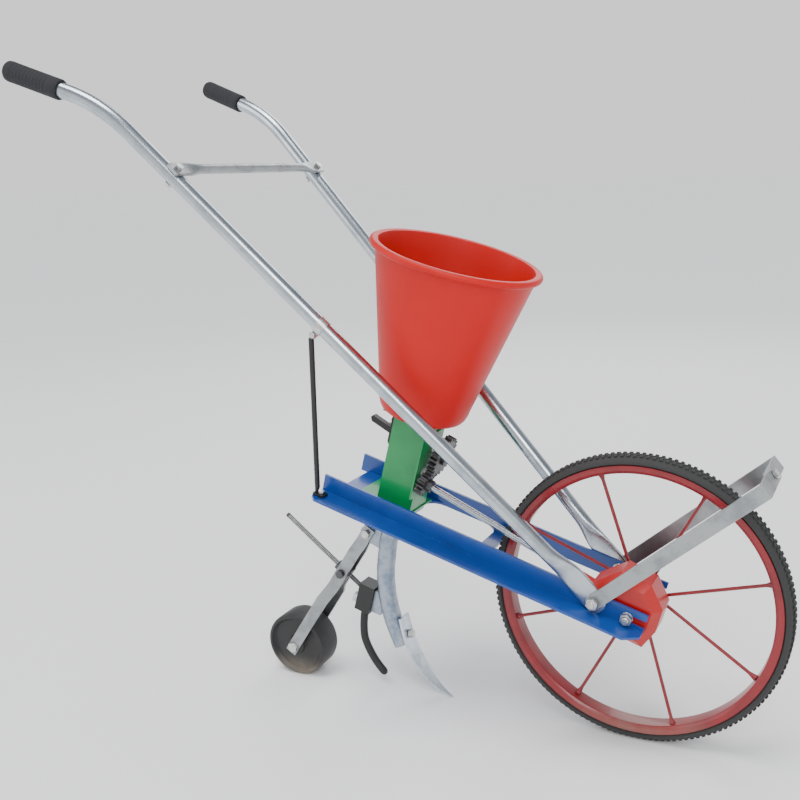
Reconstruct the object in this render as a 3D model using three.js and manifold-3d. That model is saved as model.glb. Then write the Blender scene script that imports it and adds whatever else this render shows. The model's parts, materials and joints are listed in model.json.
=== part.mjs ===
// Push seeder: a single-row, hand-pushed seed drill, standing on its wheel, opener tip and press roller.
// Units are millimetres. The machine is drawn level, with the wheel's centre at the origin, +X forward,
// +Y to the operator's left and +Z up. It is then turned nose down by standPitch, as it stands on the
// ground, and moved so that the origin is the bottom centre of its bounding box.

import * as THREE from 'three';
import { mergeVertices } from 'three/addons/utils/BufferGeometryUtils.js';
import Module from 'manifold-3d';

const wasm = await Module();
wasm.setup();

// ---------------------------------------------------------------- driving dimensions

const gap = 0.3;                    // clearance between pieces that touch
const running = 0.3;                // radial clearance of pieces that turn on each other
const standPitch = radians(17);     // how far the frame stands nose down

// Wheel
const wheelRadius = 225;
const tyreHalfWidth = 17.5;
const tyreDepth = 13;               // from the tread to the rim's edge
const rimDepth = 13;                // from the rim's edge to its inner face
const rimHalfWidth = 15.5;
const rimWall = 2.5;
const spokeCount = 8;
const spokeRadius = 2.6;
const spokePhase = radians(33);
const hubTubeRadius = 14;
const hubFlangeRadius = 24;
const hubFlangeThickness = 5;
const hubNearInset = 14;            // from the gear's back to the middle of the flange beside it
const hubFarInset = 18;             // from the left web to the middle of the other flange
const axleRadius = 5.5;
const axleNutRadius = 9.35;
const axleNutClearance = 0.65;      // between the axle's nuts and the rails' flanges

// Rails
const railGauge = 120;              // over the outer faces of the two webs
const railWall = 4;
const railTop = 16;
const railFlange = 42;
const railRear = -515;
const railFront = 28;
const axleSlotWidth = 2 * (axleRadius + gap);

// Plates between the rails
const rearPlateInset = 15;          // from the rails' rear end
const rearPlateReach = 28;          // in front of the housing's middle
const frontMemberLength = 22;
const frontMemberClearance = 7;     // from the tread of the wheel
const plateFillet = 26;
const plateWall = 4;

// Metering housing and hopper
const housingX = -406;
const housingLength = 60;
const housingWidth = 52;
const housingWall = 2;
const housingHeadroom = 27;         // from the seed roller to the top
const seatFlange = 14;
const seatThickness = 3;
const basePlateWall = 3;
const seedHoleRadius = 13;
const seedHoleOffset = 6;           // behind the housing's middle
const basePlateReach = 34;          // behind the housing
const hopperHeight = 251;
const hopperRimRadius = 127.5;
const hopperTopRadius = 118;
const hopperNeckRadius = 71.5;
const hopperNeckHeight = 26;
const hopperBaseRadius = 62;
const hopperWall = 3;
const hopperOutletRadius = 18;

// Drive line
const bevelPinionInset = 6.5;       // from the guard's face beside the rail to the pinion's pitch circle
const driveShaftRadius = 5;
const driveTilt = radians(8.56);    // the shaft rises towards the rear
const spurModule = 3;
const pinionTeeth = 12;
const meteringTeeth = 21;
const spurFace = 12;
const spurGap = 10;                 // from the housing's front to the middle of the spur gears
const bevelModule = 3;
const bevelPinionTeeth = 12;
const bevelGearTeeth = 24;
const bevelFace = 12;
const bevelBack = 4;                // the wheel's bevel gear, behind its teeth
const bevelPinionBack = 8;
const meteringShaftRadius = 5;
const seedRollerRadius = 20;
const seedRollerLength = 44;
const seedCells = 8;
const seedCellDepth = 4;

// Gear guard. Its outline is in multiples of the bevel gear's pitch radius.
const guardOutline = [
  [-1.83, -1.17], [-1.83, 0.56], [-0.83, 1.58], [0.44, 1.47], [1.18, 0.64], [1.18, -0.39], [0.86, -1.28],
];
const guardWall = 2;
const guardInset = 3.5;             // from the right rail's web
const guardLip = 4;                 // how far it reaches past the gear's back
const guardTubeWall = 3.7;
const guardTubeLength = 74;
const guardChamfer = 12;

// Handles
const handleBoltX = -51;
const handleBoltZ = 6;
const handleTubeRadius = 11;
const handleTubeWall = 1.6;
const handleBendX = -892;
const handleBendZ = 477;
const handleBendY = 184;
const handleEndX = -1041;
const handleEndZ = 486;
const handleEndY = 207;
const handleLug = 6;                // thickness of the flattened tube end
const handleLugHalfWidth = 16.5;
const gripRadius = 14.5;
const gripLength = 86;
const crossbarPlace = 0.86;         // share of the way from the bolt to the bend
const crossbarRadius = 7;
const supportPlace = 0.563;
const supportRadius = 4;
const supportFootInset = 10;        // from the rail's rear end
const supportFootReach = 24;        // from the inside of the web
const supportFootThickness = 4;

// Bolts, as the radius of their threads
const boltRadius = 5;
const pinRadius = 4;
const smallBoltRadius = 3;
const nutShare = 1.87;              // radius over a nut's corners, for a thread radius of one

// Tow frame
const towBarWall = 4;
const towBarWidth = 22;
const towClearance = 78;            // how much longer the bars are than the wheel's radius
const towBarAngle = radians(56.4);
const towOverlap = 22;

// Opener, share and tine. The share's tip is on the ground, and what is near it is placed from it.
const openerRadius = 15;
const openerWall = 2.5;
const openerStraight = 70;          // below the rails
const shareTipAlong = -316.4;       // along the ground, from the wheel's centre
const shareThickness = 5;
const shareHalfWidth = 15;
const tineRadius = 6.5;
const clampLength = 28;
const clampHeight = 50;
const clampHalfWidth = 14;
const clampBottomRise = 85.7;       // above the share's tip
const tineOffset = -174.2;          // from the share's tip to the back of the opener
const tineDepth = 25;               // how far the tine reaches into its clamp

// Press roller
const armPivotOffset = -213.2;      // behind the share's tip
const armPivotRise = 223.7;         // above the share's tip
const armLugHalf = 4;
const armLength = 267;
const armWidth = 20;
const armWall = 4;
const rollerRadius = 56;
const rollerHalfWidth = 24;
const rollerAxleRadius = 5;
const blockStation = 92;            // along the arm, from its pivot
const blockHalfWidth = 10;
const blockSize = 22;
const depthScrewRadius = 4.5;
const depthScrewSeat = 32;          // height of its foot above the clamp's bottom
const depthScrewLength = 184;
const depthScrewPlay = 1.4;         // radial clearance where the linkage is opened

// ---------------------------------------------------------------- materials

function paint(color, roughness, metalness) {
  return new THREE.MeshStandardMaterial({ color, roughness, metalness });
}

const materials = {
  railBlue: paint(0x05489b, 0.45, 0.1),
  green: paint(0x007d46, 0.45, 0.1),
  hopperRed: paint(0xc81914, 0.4, 0),
  guardRed: paint(0xd7281e, 0.4, 0.1),
  rimRed: paint(0xa81424, 0.4, 0.1),
  chrome: paint(0xd8e0e6, 0.25, 0.9),
  steel: paint(0x8c9296, 0.45, 0.8),
  darkSteel: paint(0x33373a, 0.5, 0.7),
  castGrey: paint(0x6e7374, 0.6, 0.6),
  black: paint(0x1e1f20, 0.55, 0.1),
  rubber: paint(0x32322f, 0.9, 0),
  seedPlastic: paint(0xe8e4d8, 0.5, 0),
  bristle: paint(0xb89b62, 0.9, 0),
};

// ---------------------------------------------------------------- geometry helpers

function radians(degrees) {
  return degrees * Math.PI / 180;
}

// Merges equal vertices and turns the faces outwards.
function closed(geometry) {
  const bare = geometry.clone();
  bare.deleteAttribute('normal');
  bare.deleteAttribute('uv');
  const merged = mergeVertices(bare, 1e-3);
  const place = merged.getAttribute('position');
  const index = Array.from(merged.index.array);
  const kept = [];
  let volume = 0;
  const a = new THREE.Vector3();
  const b = new THREE.Vector3();
  const c = new THREE.Vector3();
  for (let i = 0; i < index.length; i += 3) {
    const [p, q, r] = index.slice(i, i + 3);
    if (p === q || q === r || p === r) {
      continue;
    }
    kept.push(p, q, r);
    a.fromBufferAttribute(place, p);
    b.fromBufferAttribute(place, q);
    c.fromBufferAttribute(place, r);
    volume += a.dot(b.cross(c));
  }
  if (volume < 0) {
    for (let i = 0; i < kept.length; i += 3) {
      [kept[i + 1], kept[i + 2]] = [kept[i + 2], kept[i + 1]];
    }
  }
  merged.setIndex(kept);
  return merged;
}

function toSolid(geometry) {
  const merged = closed(geometry);
  return new wasm.Manifold(new wasm.Mesh({
    numProp: 3,
    vertProperties: new Float32Array(merged.getAttribute('position').array),
    triVerts: new Uint32Array(merged.index.array),
  }));
}

function toGeometry(solid) {
  const mesh = solid.getMesh();
  const geometry = new THREE.BufferGeometry();
  geometry.setAttribute('position', new THREE.BufferAttribute(new Float32Array(mesh.vertProperties), 3));
  geometry.setIndex(Array.from(mesh.triVerts));
  return geometry;
}

function join(first, ...others) {
  return toGeometry(others.reduce((sum, next) => sum.add(toSolid(next)), toSolid(first)));
}

function cut(first, ...others) {
  return toGeometry(others.reduce((rest, next) => rest.subtract(toSolid(next)), toSolid(first)));
}

function common(first, second) {
  return toGeometry(toSolid(first).intersect(toSolid(second)));
}

function mirrored(geometry) {
  return closed(geometry.clone().scale(1, -1, 1));
}

function outline(points) {
  return new THREE.Shape(points.map(([u, v]) => new THREE.Vector2(u, v)));
}

function rectangle(u0, v0, u1, v1) {
  return outline([[u0, v0], [u1, v0], [u1, v1], [u0, v1]]);
}

function extrude(shape, depth, curveSegments = 12) {
  return new THREE.ExtrudeGeometry(shape, { depth, curveSegments, bevelEnabled: false });
}

// Slabs: a shape drawn in one plane, between two values of the third coordinate.
function slabXY(shape, z0, z1) {
  return extrude(shape, z1 - z0).translate(0, 0, z0);
}

function slabXZ(shape, y0, y1) {
  return extrude(shape, y1 - y0).rotateX(Math.PI / 2).translate(0, y1, 0);
}

function slabYZ(shape, x0, x1) {
  const turn = new THREE.Matrix4().makeBasis(
    new THREE.Vector3(0, 1, 0), new THREE.Vector3(0, 0, 1), new THREE.Vector3(1, 0, 0));
  return extrude(shape, x1 - x0).applyMatrix4(turn).translate(x0, 0, 0);
}

function box(x0, x1, y0, y1, z0, z1) {
  return new THREE.BoxGeometry(x1 - x0, y1 - y0, z1 - z0)
    .translate((x0 + x1) / 2, (y0 + y1) / 2, (z0 + z1) / 2);
}

function between(geometryAlongY, start, end) {
  const from = new THREE.Vector3(...start);
  const to = new THREE.Vector3(...end);
  const turn = new THREE.Quaternion().setFromUnitVectors(
    new THREE.Vector3(0, 1, 0), to.clone().sub(from).normalize());
  return geometryAlongY.applyQuaternion(turn).translate(from.x, from.y, from.z);
}

// A round bar from start to end.
function rod(start, end, radius, sides = 16) {
  const length = new THREE.Vector3(...end).distanceTo(new THREE.Vector3(...start));
  const bar = new THREE.CylinderGeometry(radius, radius, length, sides).translate(0, length / 2, 0);
  return between(bar, start, end);
}

// A hexagonal prism from start to end, across corners 2 * radius.
function hexagon(start, end, radius) {
  return rod(start, end, radius, 6);
}

// A body of revolution about Y. The profile is a list of [radius, y] and closes on itself.
function ring(profile, segments = 32) {
  const points = [...profile, profile[0]].map(([r, y]) => new THREE.Vector2(r, y));
  return new THREE.LatheGeometry(points, segments);
}

// A body of revolution about Y whose profile starts and ends on the axis.
function turned(profile, segments = 24) {
  return new THREE.LatheGeometry(profile.map(([r, y]) => new THREE.Vector2(r, y)), segments);
}

// A path through a list of stations, which are close together only where the path bends.
class BentPath extends THREE.Curve {
  constructor(stations) {
    super();
    this.stations = stations;
    this.steps = stations.length - 1;
  }

  getPointAt(share, target = new THREE.Vector3()) {
    const place = share * this.steps;
    const before = Math.min(Math.floor(place + 1e-6), this.steps - 1);
    return target.lerpVectors(this.stations[before], this.stations[before + 1], place - before);
  }

  getTangentAt(share, target = new THREE.Vector3()) {
    const nearest = Math.round(share * this.steps);
    const from = this.stations[Math.max(nearest - 1, 0)];
    const to = this.stations[Math.min(nearest + 1, this.steps)];
    return target.subVectors(to, from).normalize();
  }
}

// A path with a straight start and a smooth rest, through the points given.
function smoothPath(straight, points, count) {
  const curve = new THREE.CatmullRomCurve3(points.map((point) => new THREE.Vector3(...point)));
  return new BentPath([new THREE.Vector3(...straight), ...curve.getSpacedPoints(count)]);
}

// A round tube, or a solid bar when wall is zero, along a path.
function pipe(path, radius, wall, sides = 16) {
  const section = new THREE.Shape().absarc(0, 0, radius, 0, 2 * Math.PI);
  if (wall > 0) {
    section.holes.push(new THREE.Path().absarc(0, 0, radius - wall, 0, 2 * Math.PI, true));
  }
  return new THREE.ExtrudeGeometry(section, {
    steps: path.steps, curveSegments: sides / 2, extrudePath: path,
  });
}

const root = new THREE.Group();

function add(name, geometry, material, group = root) {
  const mesh = new THREE.Mesh(closed(geometry), material);
  mesh.name = name;
  group.add(mesh);
  return mesh;
}

// ---------------------------------------------------------------- derived places

const rimOuterRadius = wheelRadius - tyreDepth;
const rimInnerRadius = rimOuterRadius - rimDepth;
const railBottom = -(axleNutRadius + axleNutClearance + plateWall);
const webOuter = railGauge / 2;
const webInner = webOuter - railWall;
const flangeOuter = webOuter - railWall + railFlange;
const plateTop = railBottom + plateWall;
const basePlateTop = plateTop + gap + basePlateWall;
const housingBottom = basePlateTop + gap;
const lugOuter = webOuter + gap + handleLug;
const towInner = lugOuter + gap;
const towOuter = towInner + towBarWall;
const frontMemberFront = -(wheelRadius + frontMemberClearance);
const towBarLength = wheelRadius + towClearance;
const housingFront = housingX + housingLength / 2;
const housingRear = housingX - housingLength / 2;
const seedHoleX = housingX - seedHoleOffset;
const bevelGearRadius = bevelGearTeeth * bevelModule / 2;
const bevelPinionRadius = bevelPinionTeeth * bevelModule / 2;
const guardInner = guardInset - webInner;
const driveShaftY = guardInner + bevelPinionInset + bevelPinionRadius;
const gearBack = driveShaftY + bevelPinionRadius + bevelBack;
const spurStation = housingFront + spurGap;
const spurDistance = spurModule * (pinionTeeth + meteringTeeth) / 2;
const meteringOffsetY = -driveShaftY;
const meteringOffsetZ = Math.sqrt(spurDistance ** 2 - meteringOffsetY ** 2);
const meshAngle = Math.atan2(meteringOffsetZ, meteringOffsetY);
const meteringHeight = meteringOffsetZ / Math.cos(driveTilt) - housingX * Math.tan(driveTilt);
const housingTop = meteringHeight + seedRollerRadius + housingHeadroom;
const supportFootX = railRear + supportFootInset;
const supportFootY = webInner + supportFootReach;
const gateLeverY = 9 - housingWidth / 2;
const gateLeverZ = housingTop - 21.4;
const shareTip = new THREE.Vector3(groundPoint(shareTipAlong, 0)[0], 0, groundPoint(shareTipAlong, 0)[1]);
const armPivotX = shareTip.x + armPivotOffset;
const armPivotZ = shareTip.z + armPivotRise;

// Height above the ground of a point of the level machine, and the point at a given height.
function heightAboveGround(x, z) {
  return z * Math.cos(standPitch) - x * Math.sin(standPitch) + wheelRadius;
}

function groundPoint(along, height) {
  const rise = height - wheelRadius;
  return [
    along * Math.cos(standPitch) - rise * Math.sin(standPitch),
    along * Math.sin(standPitch) + rise * Math.cos(standPitch),
  ];
}

// ---------------------------------------------------------------- rails and plates

function railGeometry() {
  const web = rectangle(railRear, railBottom, railFront, railTop);
  const slotHalf = axleSlotWidth / 2;
  const slot = new THREE.Shape();
  slot.moveTo(railFront + 1, -slotHalf);
  slot.lineTo(railFront + 1, slotHalf);
  slot.lineTo(0, slotHalf);
  slot.absarc(0, 0, slotHalf, Math.PI / 2, 3 * Math.PI / 2, false);
  const upright = slabXZ(web, -webOuter, -webInner);
  const flange = box(railRear, railFront, -flangeOuter, -webInner, railBottom, plateTop);
  const beyond = -flangeOuter - 1;
  const corner = (end, side, length) => slabXY(outline([
    [end - side * length, beyond], [end + side, beyond], [end + side, length - flangeOuter],
  ]), railBottom - 1, plateTop + 1);
  return cut(
    join(upright, flange),
    slabXZ(slot, -webOuter - 1, -webInner + 1),
    rod([handleBoltX, -webOuter - 1, handleBoltZ], [handleBoltX, -webInner + 1, handleBoltZ],
      boltRadius + gap),
    rod([supportFootX, -supportFootY, railBottom - 1], [supportFootX, -supportFootY, plateTop + 1],
      smallBoltRadius + gap, 12),
    corner(railFront, 1, 22),
    corner(railRear, -1, 10),
  );
}

// A plate that lies between the webs, with arms that run along them.
function crossPlate(rear, front, rearFillet, frontFillet) {
  const side = webInner - gap;
  const shape = new THREE.Shape();
  shape.moveTo(rear - rearFillet, -side);
  shape.lineTo(front + frontFillet, -side);
  if (frontFillet > 0) {
    shape.absarc(front + frontFillet, -side + frontFillet, frontFillet, -Math.PI / 2, -Math.PI, true);
    shape.absarc(front + frontFillet, side - frontFillet, frontFillet, Math.PI, Math.PI / 2, true);
  } else {
    shape.lineTo(front, side);
  }
  shape.lineTo(rear - rearFillet, side);
  if (rearFillet > 0) {
    shape.absarc(rear - rearFillet, side - rearFillet, rearFillet, Math.PI / 2, 0, true);
    shape.absarc(rear - rearFillet, -side + rearFillet, rearFillet, 0, -Math.PI / 2, true);
  }
  return shape;
}

function addFrame() {
  const rail = railGeometry();
  add('right_rail', rail, materials.railBlue);
  add('left_rail', mirrored(rail), materials.railBlue);

  const seedHole = rod([seedHoleX, 0, railBottom - 1], [seedHoleX, 0, plateTop + 1], seedHoleRadius, 20);
  const plateShape = crossPlate(railRear + rearPlateInset, housingX + rearPlateReach, 0, plateFillet);
  const rearPlate = slabXY(plateShape, railBottom, plateTop);
  add('rear_cross_plate', cut(rearPlate, seedHole), materials.railBlue);

  const frontMember = crossPlate(frontMemberFront - frontMemberLength, frontMemberFront, plateFillet, 0);
  add('front_cross_member', slabXY(frontMember, railBottom, plateTop), materials.railBlue);
}

// ---------------------------------------------------------------- drive line

const driveLine = new THREE.Group();
driveLine.position.set(0, driveShaftY, 0);
driveLine.rotation.y = driveTilt;
root.add(driveLine);

// A toothed outline. One tooth points at the angle given.
function toothedShape(teeth, module, phase, boreRadius, addendum, dedendum, fullness) {
  const pitch = teeth * module / 2;
  const tip = pitch + addendum;
  const foot = pitch - dedendum;
  const step = 2 * Math.PI / teeth;
  const points = [];
  for (let i = 0; i < teeth; i += 1) {
    const middle = phase + i * step;
    for (const [radius, share] of [[foot, -0.31], [pitch, -0.215], [tip, -0.1]]) {
      points.push([radius, middle + share * fullness * step]);
    }
    for (const [radius, share] of [[tip, 0.1], [pitch, 0.215], [foot, 0.31]]) {
      points.push([radius, middle + share * fullness * step]);
    }
  }
  const shape = outline(points.map(([r, a]) => [r * Math.cos(a), r * Math.sin(a)]));
  if (boreRadius > 0) {
    shape.holes.push(new THREE.Path().absarc(0, 0, boreRadius, 0, 2 * Math.PI, true));
  }
  return shape;
}

function spurShape(teeth, phase, boreRadius) {
  return toothedShape(teeth, spurModule, phase, boreRadius, 0.85 * spurModule, 1.15 * spurModule, 1);
}

// A bevel gear whose teeth shrink towards the cone's apex, at the origin. It is drawn along +Z.
function bevelGeometry(teeth, mateTeeth, phase, boreRadius, backLength) {
  const heel = mateTeeth * bevelModule / 2;
  const coneLength = Math.hypot(heel, teeth * bevelModule / 2);
  const shrink = 1 - bevelFace / coneLength;
  // The teeth are drawn on a flat end, so their height is drawn out by the slope of the cone.
  const slope = coneLength / heel;
  const dedendum = 0.85 * bevelModule * slope;
  const shape = toothedShape(teeth, bevelModule, phase, 0, 0.6 * bevelModule * slope, dedendum, 0.85);
  const toothed = extrude(shape, 1, 8);
  const place = toothed.getAttribute('position');
  for (let i = 0; i < place.count; i += 1) {
    const scale = place.getZ(i) > 0.5 ? 1 : shrink;
    place.setXYZ(i, place.getX(i) * scale, place.getY(i) * scale, heel * scale);
  }
  const backRadius = teeth * bevelModule / 2 - dedendum - 0.8;
  const back = rod([0, 0, heel - 0.5], [0, 0, heel + backLength], backRadius, 24);
  const bore = rod([0, 0, 0], [0, 0, heel + backLength + 1], boreRadius, 20);
  return cut(join(toothed, back), bore);
}

function addDriveLine() {
  const shaftStart = spurStation - spurFace / 2 - 5;
  const coneLength = Math.hypot(bevelGearRadius, bevelPinionRadius);
  const shaftFront = -bevelGearRadius * (1 - bevelFace / coneLength);
  add('drive_shaft', rod([shaftStart, 0, 0], [shaftFront, 0, 0], driveShaftRadius, 20),
    materials.chrome, driveLine);

  const alongX = new THREE.Matrix4().makeBasis(
    new THREE.Vector3(0, 1, 0), new THREE.Vector3(0, 0, 1), new THREE.Vector3(1, 0, 0));
  const spurBack = spurStation - spurFace / 2;
  const hubOf = (boreRadius, wall, from, to) => ring([
    [boreRadius, from], [boreRadius + wall, from], [boreRadius + wall, to], [boreRadius, to],
  ], 20).rotateZ(-Math.PI / 2);
  const pinionHub = hubOf(driveShaftRadius + gap, 4.7, spurStation, spurStation + spurFace / 2 + 8);
  const pinion = extrude(spurShape(pinionTeeth, meshAngle, driveShaftRadius + gap), spurFace, 6)
    .applyMatrix4(alongX).translate(spurBack, 0, 0);
  add('drive_pinion', join(pinion, pinionHub), materials.darkSteel, driveLine);

  // The gear's gap between two teeth faces the pinion's tooth.
  const gearPhase = meshAngle + Math.PI + Math.PI / meteringTeeth;
  const gear = extrude(spurShape(meteringTeeth, gearPhase, meteringShaftRadius + gap), spurFace, 6)
    .applyMatrix4(alongX).translate(spurBack, 0, 0);
  const gearHub = hubOf(meteringShaftRadius + gap, 7.7, spurBack - 4, spurStation + spurFace / 2 + 5);
  add('metering_gear', join(gear, gearHub).translate(0, meteringOffsetY, meteringOffsetZ),
    materials.darkSteel, driveLine);

  const meteringStart = housingRear - 30;
  const shaft = rod([meteringStart, 0, 0], [spurStation + spurFace, 0, 0], meteringShaftRadius, 20);
  const collar = rod([meteringStart + 6, 0, 0], [meteringStart + 14, 0, 0], meteringShaftRadius + 3, 20);
  add('metering_shaft', join(shaft, collar).translate(0, meteringOffsetY, meteringOffsetZ),
    materials.steel, driveLine);

  // The seed roller, with a cell for seed along each of its flutes.
  const rollerMiddle = (housingX - meteringOffsetZ * Math.sin(driveTilt)) / Math.cos(driveTilt);
  const cellHalf = Math.PI / seedCells * 0.36;
  const cellRadius = seedRollerRadius - seedCellDepth;
  const polar = [];
  for (let i = 0; i < seedCells; i += 1) {
    const middle = 2 * Math.PI * i / seedCells;
    polar.push([seedRollerRadius, middle - cellHalf], [cellRadius, middle - cellHalf * 0.6]);
    polar.push([cellRadius, middle + cellHalf * 0.6], [seedRollerRadius, middle + cellHalf]);
    polar.push([seedRollerRadius, middle + Math.PI / seedCells]);
  }
  const cells = outline(polar.map(([r, a]) => [r * Math.cos(a), r * Math.sin(a)]));
  cells.holes.push(new THREE.Path().absarc(0, 0, meteringShaftRadius + gap, 0, 2 * Math.PI, true));
  const roller = extrude(cells, seedRollerLength, 8).applyMatrix4(alongX)
    .translate(rollerMiddle - seedRollerLength / 2, meteringOffsetY, meteringOffsetZ);
  add('seed_roller', roller, materials.seedPlastic, driveLine);

  // Bevel pair. The pinion's cone opens to the rear, the wheel gear's cone to the left.
  const pinionTurn = new THREE.Matrix4().makeBasis(
    new THREE.Vector3(0, 1, 0), new THREE.Vector3(0, 0, -1), new THREE.Vector3(-1, 0, 0));
  const bevelPinion = bevelGeometry(
    bevelPinionTeeth, bevelGearTeeth, 0, driveShaftRadius + gap, bevelPinionBack)
    .applyMatrix4(pinionTurn);
  add('bevel_pinion', bevelPinion, materials.darkSteel, driveLine);
}

function addWheelGear() {
  // Drawn along +Z, then laid along +Y so that the tooth gap at its phase faces the pinion.
  const turn = new THREE.Matrix4().makeBasis(
    new THREE.Vector3(-1, 0, 0), new THREE.Vector3(0, 0, 1), new THREE.Vector3(0, 1, 0));
  const gear = bevelGeometry(
    bevelGearTeeth, bevelPinionTeeth, Math.PI / bevelGearTeeth, axleRadius + running, bevelBack)
    .applyMatrix4(turn).rotateY(driveTilt).translate(0, driveShaftY, 0);
  add('wheel_bevel_gear', gear, materials.darkSteel);
}

// ---------------------------------------------------------------- gear guard

function guardShape(inset) {
  const points = guardOutline.map(([x, z]) => new THREE.Vector2(x, z).multiplyScalar(bevelGearRadius));
  if (inset === 0) {
    return new THREE.Shape(points);
  }
  const count = points.length;
  const moved = points.map((point, i) => {
    const before = points[(i + count - 1) % count];
    const after = points[(i + 1) % count];
    const along1 = point.clone().sub(before).normalize();
    const along2 = after.clone().sub(point).normalize();
    const normal1 = new THREE.Vector2(along1.y, -along1.x);
    const normal2 = new THREE.Vector2(along2.y, -along2.x);
    const middle = normal1.clone().add(normal2).normalize();
    return point.clone().addScaledVector(middle, inset / middle.dot(normal1));
  });
  return new THREE.Shape(moved);
}

// A faceted cup that is open towards the spokes, with its corner beside the rail cut off at an angle.
function guardCup(inset, closedSide, openSide) {
  const depth = openSide - closedSide;
  const chamfer = guardChamfer;
  const cup = new THREE.ExtrudeGeometry(guardShape(inset + chamfer), {
    depth: depth - chamfer, curveSegments: 4, bevelEnabled: true, bevelSegments: 1,
    bevelThickness: chamfer, bevelSize: chamfer,
  }).rotateX(Math.PI / 2);
  // The extrusion now runs from y = chamfer down to y = -depth; both of its ends are chamfered.
  cup.translate(0, openSide, 0);
  const beyond = box(-200, 200, openSide, openSide + 2 * chamfer, -200, 200);
  return cut(cup, beyond);
}

function addGuard() {
  const guardOpen = gearBack + guardLip;
  const outer = guardCup(0, guardInner, guardOpen);
  const inner = guardCup(guardWall, guardInner + guardWall, guardOpen + 1);
  const tubeStart = -bevelGearRadius - bevelPinionBack - 14;
  const tubeEnd = tubeStart - guardTubeLength;
  const boreRadius = driveShaftRadius + running;
  const tubeOuter = rod([tubeEnd, 0, 0], [tubeStart, 0, 0], boreRadius + guardTubeWall, 20)
    .rotateY(driveTilt).translate(0, driveShaftY, 0);
  const tubeInner = rod([tubeEnd - 1, 0, 0], [tubeStart + 18, 0, 0], boreRadius, 20)
    .rotateY(driveTilt).translate(0, driveShaftY, 0);
  const axleHole = rod([0, guardInner - 1, 0], [0, guardInner + guardWall + 1, 0], axleRadius + gap, 20);
  const shell = cut(outer, inner);
  add('gear_guard', cut(join(shell, tubeOuter), tubeInner, axleHole), materials.guardRed);
}

// ---------------------------------------------------------------- wheel

function addWheel() {
  const bead = rimHalfWidth - rimWall;
  add('tyre', ring([
    [rimInnerRadius + rimWall + gap, -bead + gap], [rimOuterRadius + gap, -bead + gap],
    [rimOuterRadius + 2, -tyreHalfWidth], [wheelRadius - 6, -tyreHalfWidth], [wheelRadius - 1.5, -12],
    [wheelRadius, -6], [wheelRadius, 6], [wheelRadius - 1.5, 12], [wheelRadius - 6, tyreHalfWidth],
    [rimOuterRadius + 2, tyreHalfWidth], [rimOuterRadius + gap, bead - gap],
    [rimInnerRadius + rimWall + gap, bead - gap],
  ], 64), materials.rubber);

  add('wheel_rim', ring([
    [rimInnerRadius, -rimHalfWidth + 4], [rimInnerRadius + 5, -rimHalfWidth],
    [rimOuterRadius, -rimHalfWidth], [rimOuterRadius, -bead],
    [rimInnerRadius + rimWall, -bead], [rimInnerRadius + rimWall, bead], [rimOuterRadius, bead],
    [rimOuterRadius, rimHalfWidth], [rimInnerRadius + 5, rimHalfWidth], [rimInnerRadius, rimHalfWidth - 4],
  ], 64), materials.rimRed);

  const halfFlange = hubFlangeThickness / 2;
  const hubNearFlange = gearBack + hubNearInset;
  const hubFarFlange = webInner - hubFarInset;
  add('wheel_hub', ring([
    [axleRadius + running, gearBack + gap], [hubTubeRadius, gearBack + gap],
    [hubTubeRadius, hubNearFlange - halfFlange], [hubFlangeRadius, hubNearFlange - halfFlange],
    [hubFlangeRadius, hubNearFlange + halfFlange], [hubTubeRadius, hubNearFlange + halfFlange],
    [hubTubeRadius, hubFarFlange - halfFlange], [hubFlangeRadius, hubFarFlange - halfFlange],
    [hubFlangeRadius, hubFarFlange + halfFlange], [hubTubeRadius, hubFarFlange + halfFlange],
    [hubTubeRadius, webInner - 1], [axleRadius + running, webInner - 1],
  ], 28), materials.rimRed);

  for (let i = 0; i < spokeCount; i += 1) {
    const angle = spokePhase + 2 * Math.PI * i / spokeCount;
    const inner = hubFlangeRadius + 1;
    const outer = rimInnerRadius - 1;
    const hubY = i % 2 === 0 ? hubNearFlange : hubFarFlange;
    const rimY = i % 2 === 0 ? -3 : 3;
    add(`spoke_${i + 1}`, rod(
      [inner * Math.cos(angle), hubY, inner * Math.sin(angle)],
      [outer * Math.cos(angle), rimY, outer * Math.sin(angle)], spokeRadius, 10), materials.rimRed);
  }

  const axleReach = webOuter + 13;
  add('axle', rod([0, -axleReach, 0], [0, axleReach, 0], axleRadius, 20), materials.steel);
  for (const [name, side] of [['right', -1], ['left', 1]]) {
    const nut = hexagon([0, side * (webOuter + gap), 0], [0, side * (webOuter + 9), 0], axleNutRadius);
    const washer = rod([0, side * (webOuter + gap), 0], [0, side * (webOuter + 2), 0], axleNutRadius, 24);
    const bore = rod([0, side * webOuter, 0], [0, side * (webOuter + 12), 0], axleRadius + gap, 20);
    add(`axle_nut_${name}`, cut(join(nut, washer), bore), materials.steel);
  }
}

// ---------------------------------------------------------------- metering housing and hopper

// The part of the drive line's space that a shaft and its clearance take.
function shaftSpace(radius, y, z) {
  return rod([housingRear - 60, 0, 0], [housingFront + 60, 0, 0], radius, 20).translate(0, y, z)
    .rotateY(driveTilt).translate(0, driveShaftY, 0);
}

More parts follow.
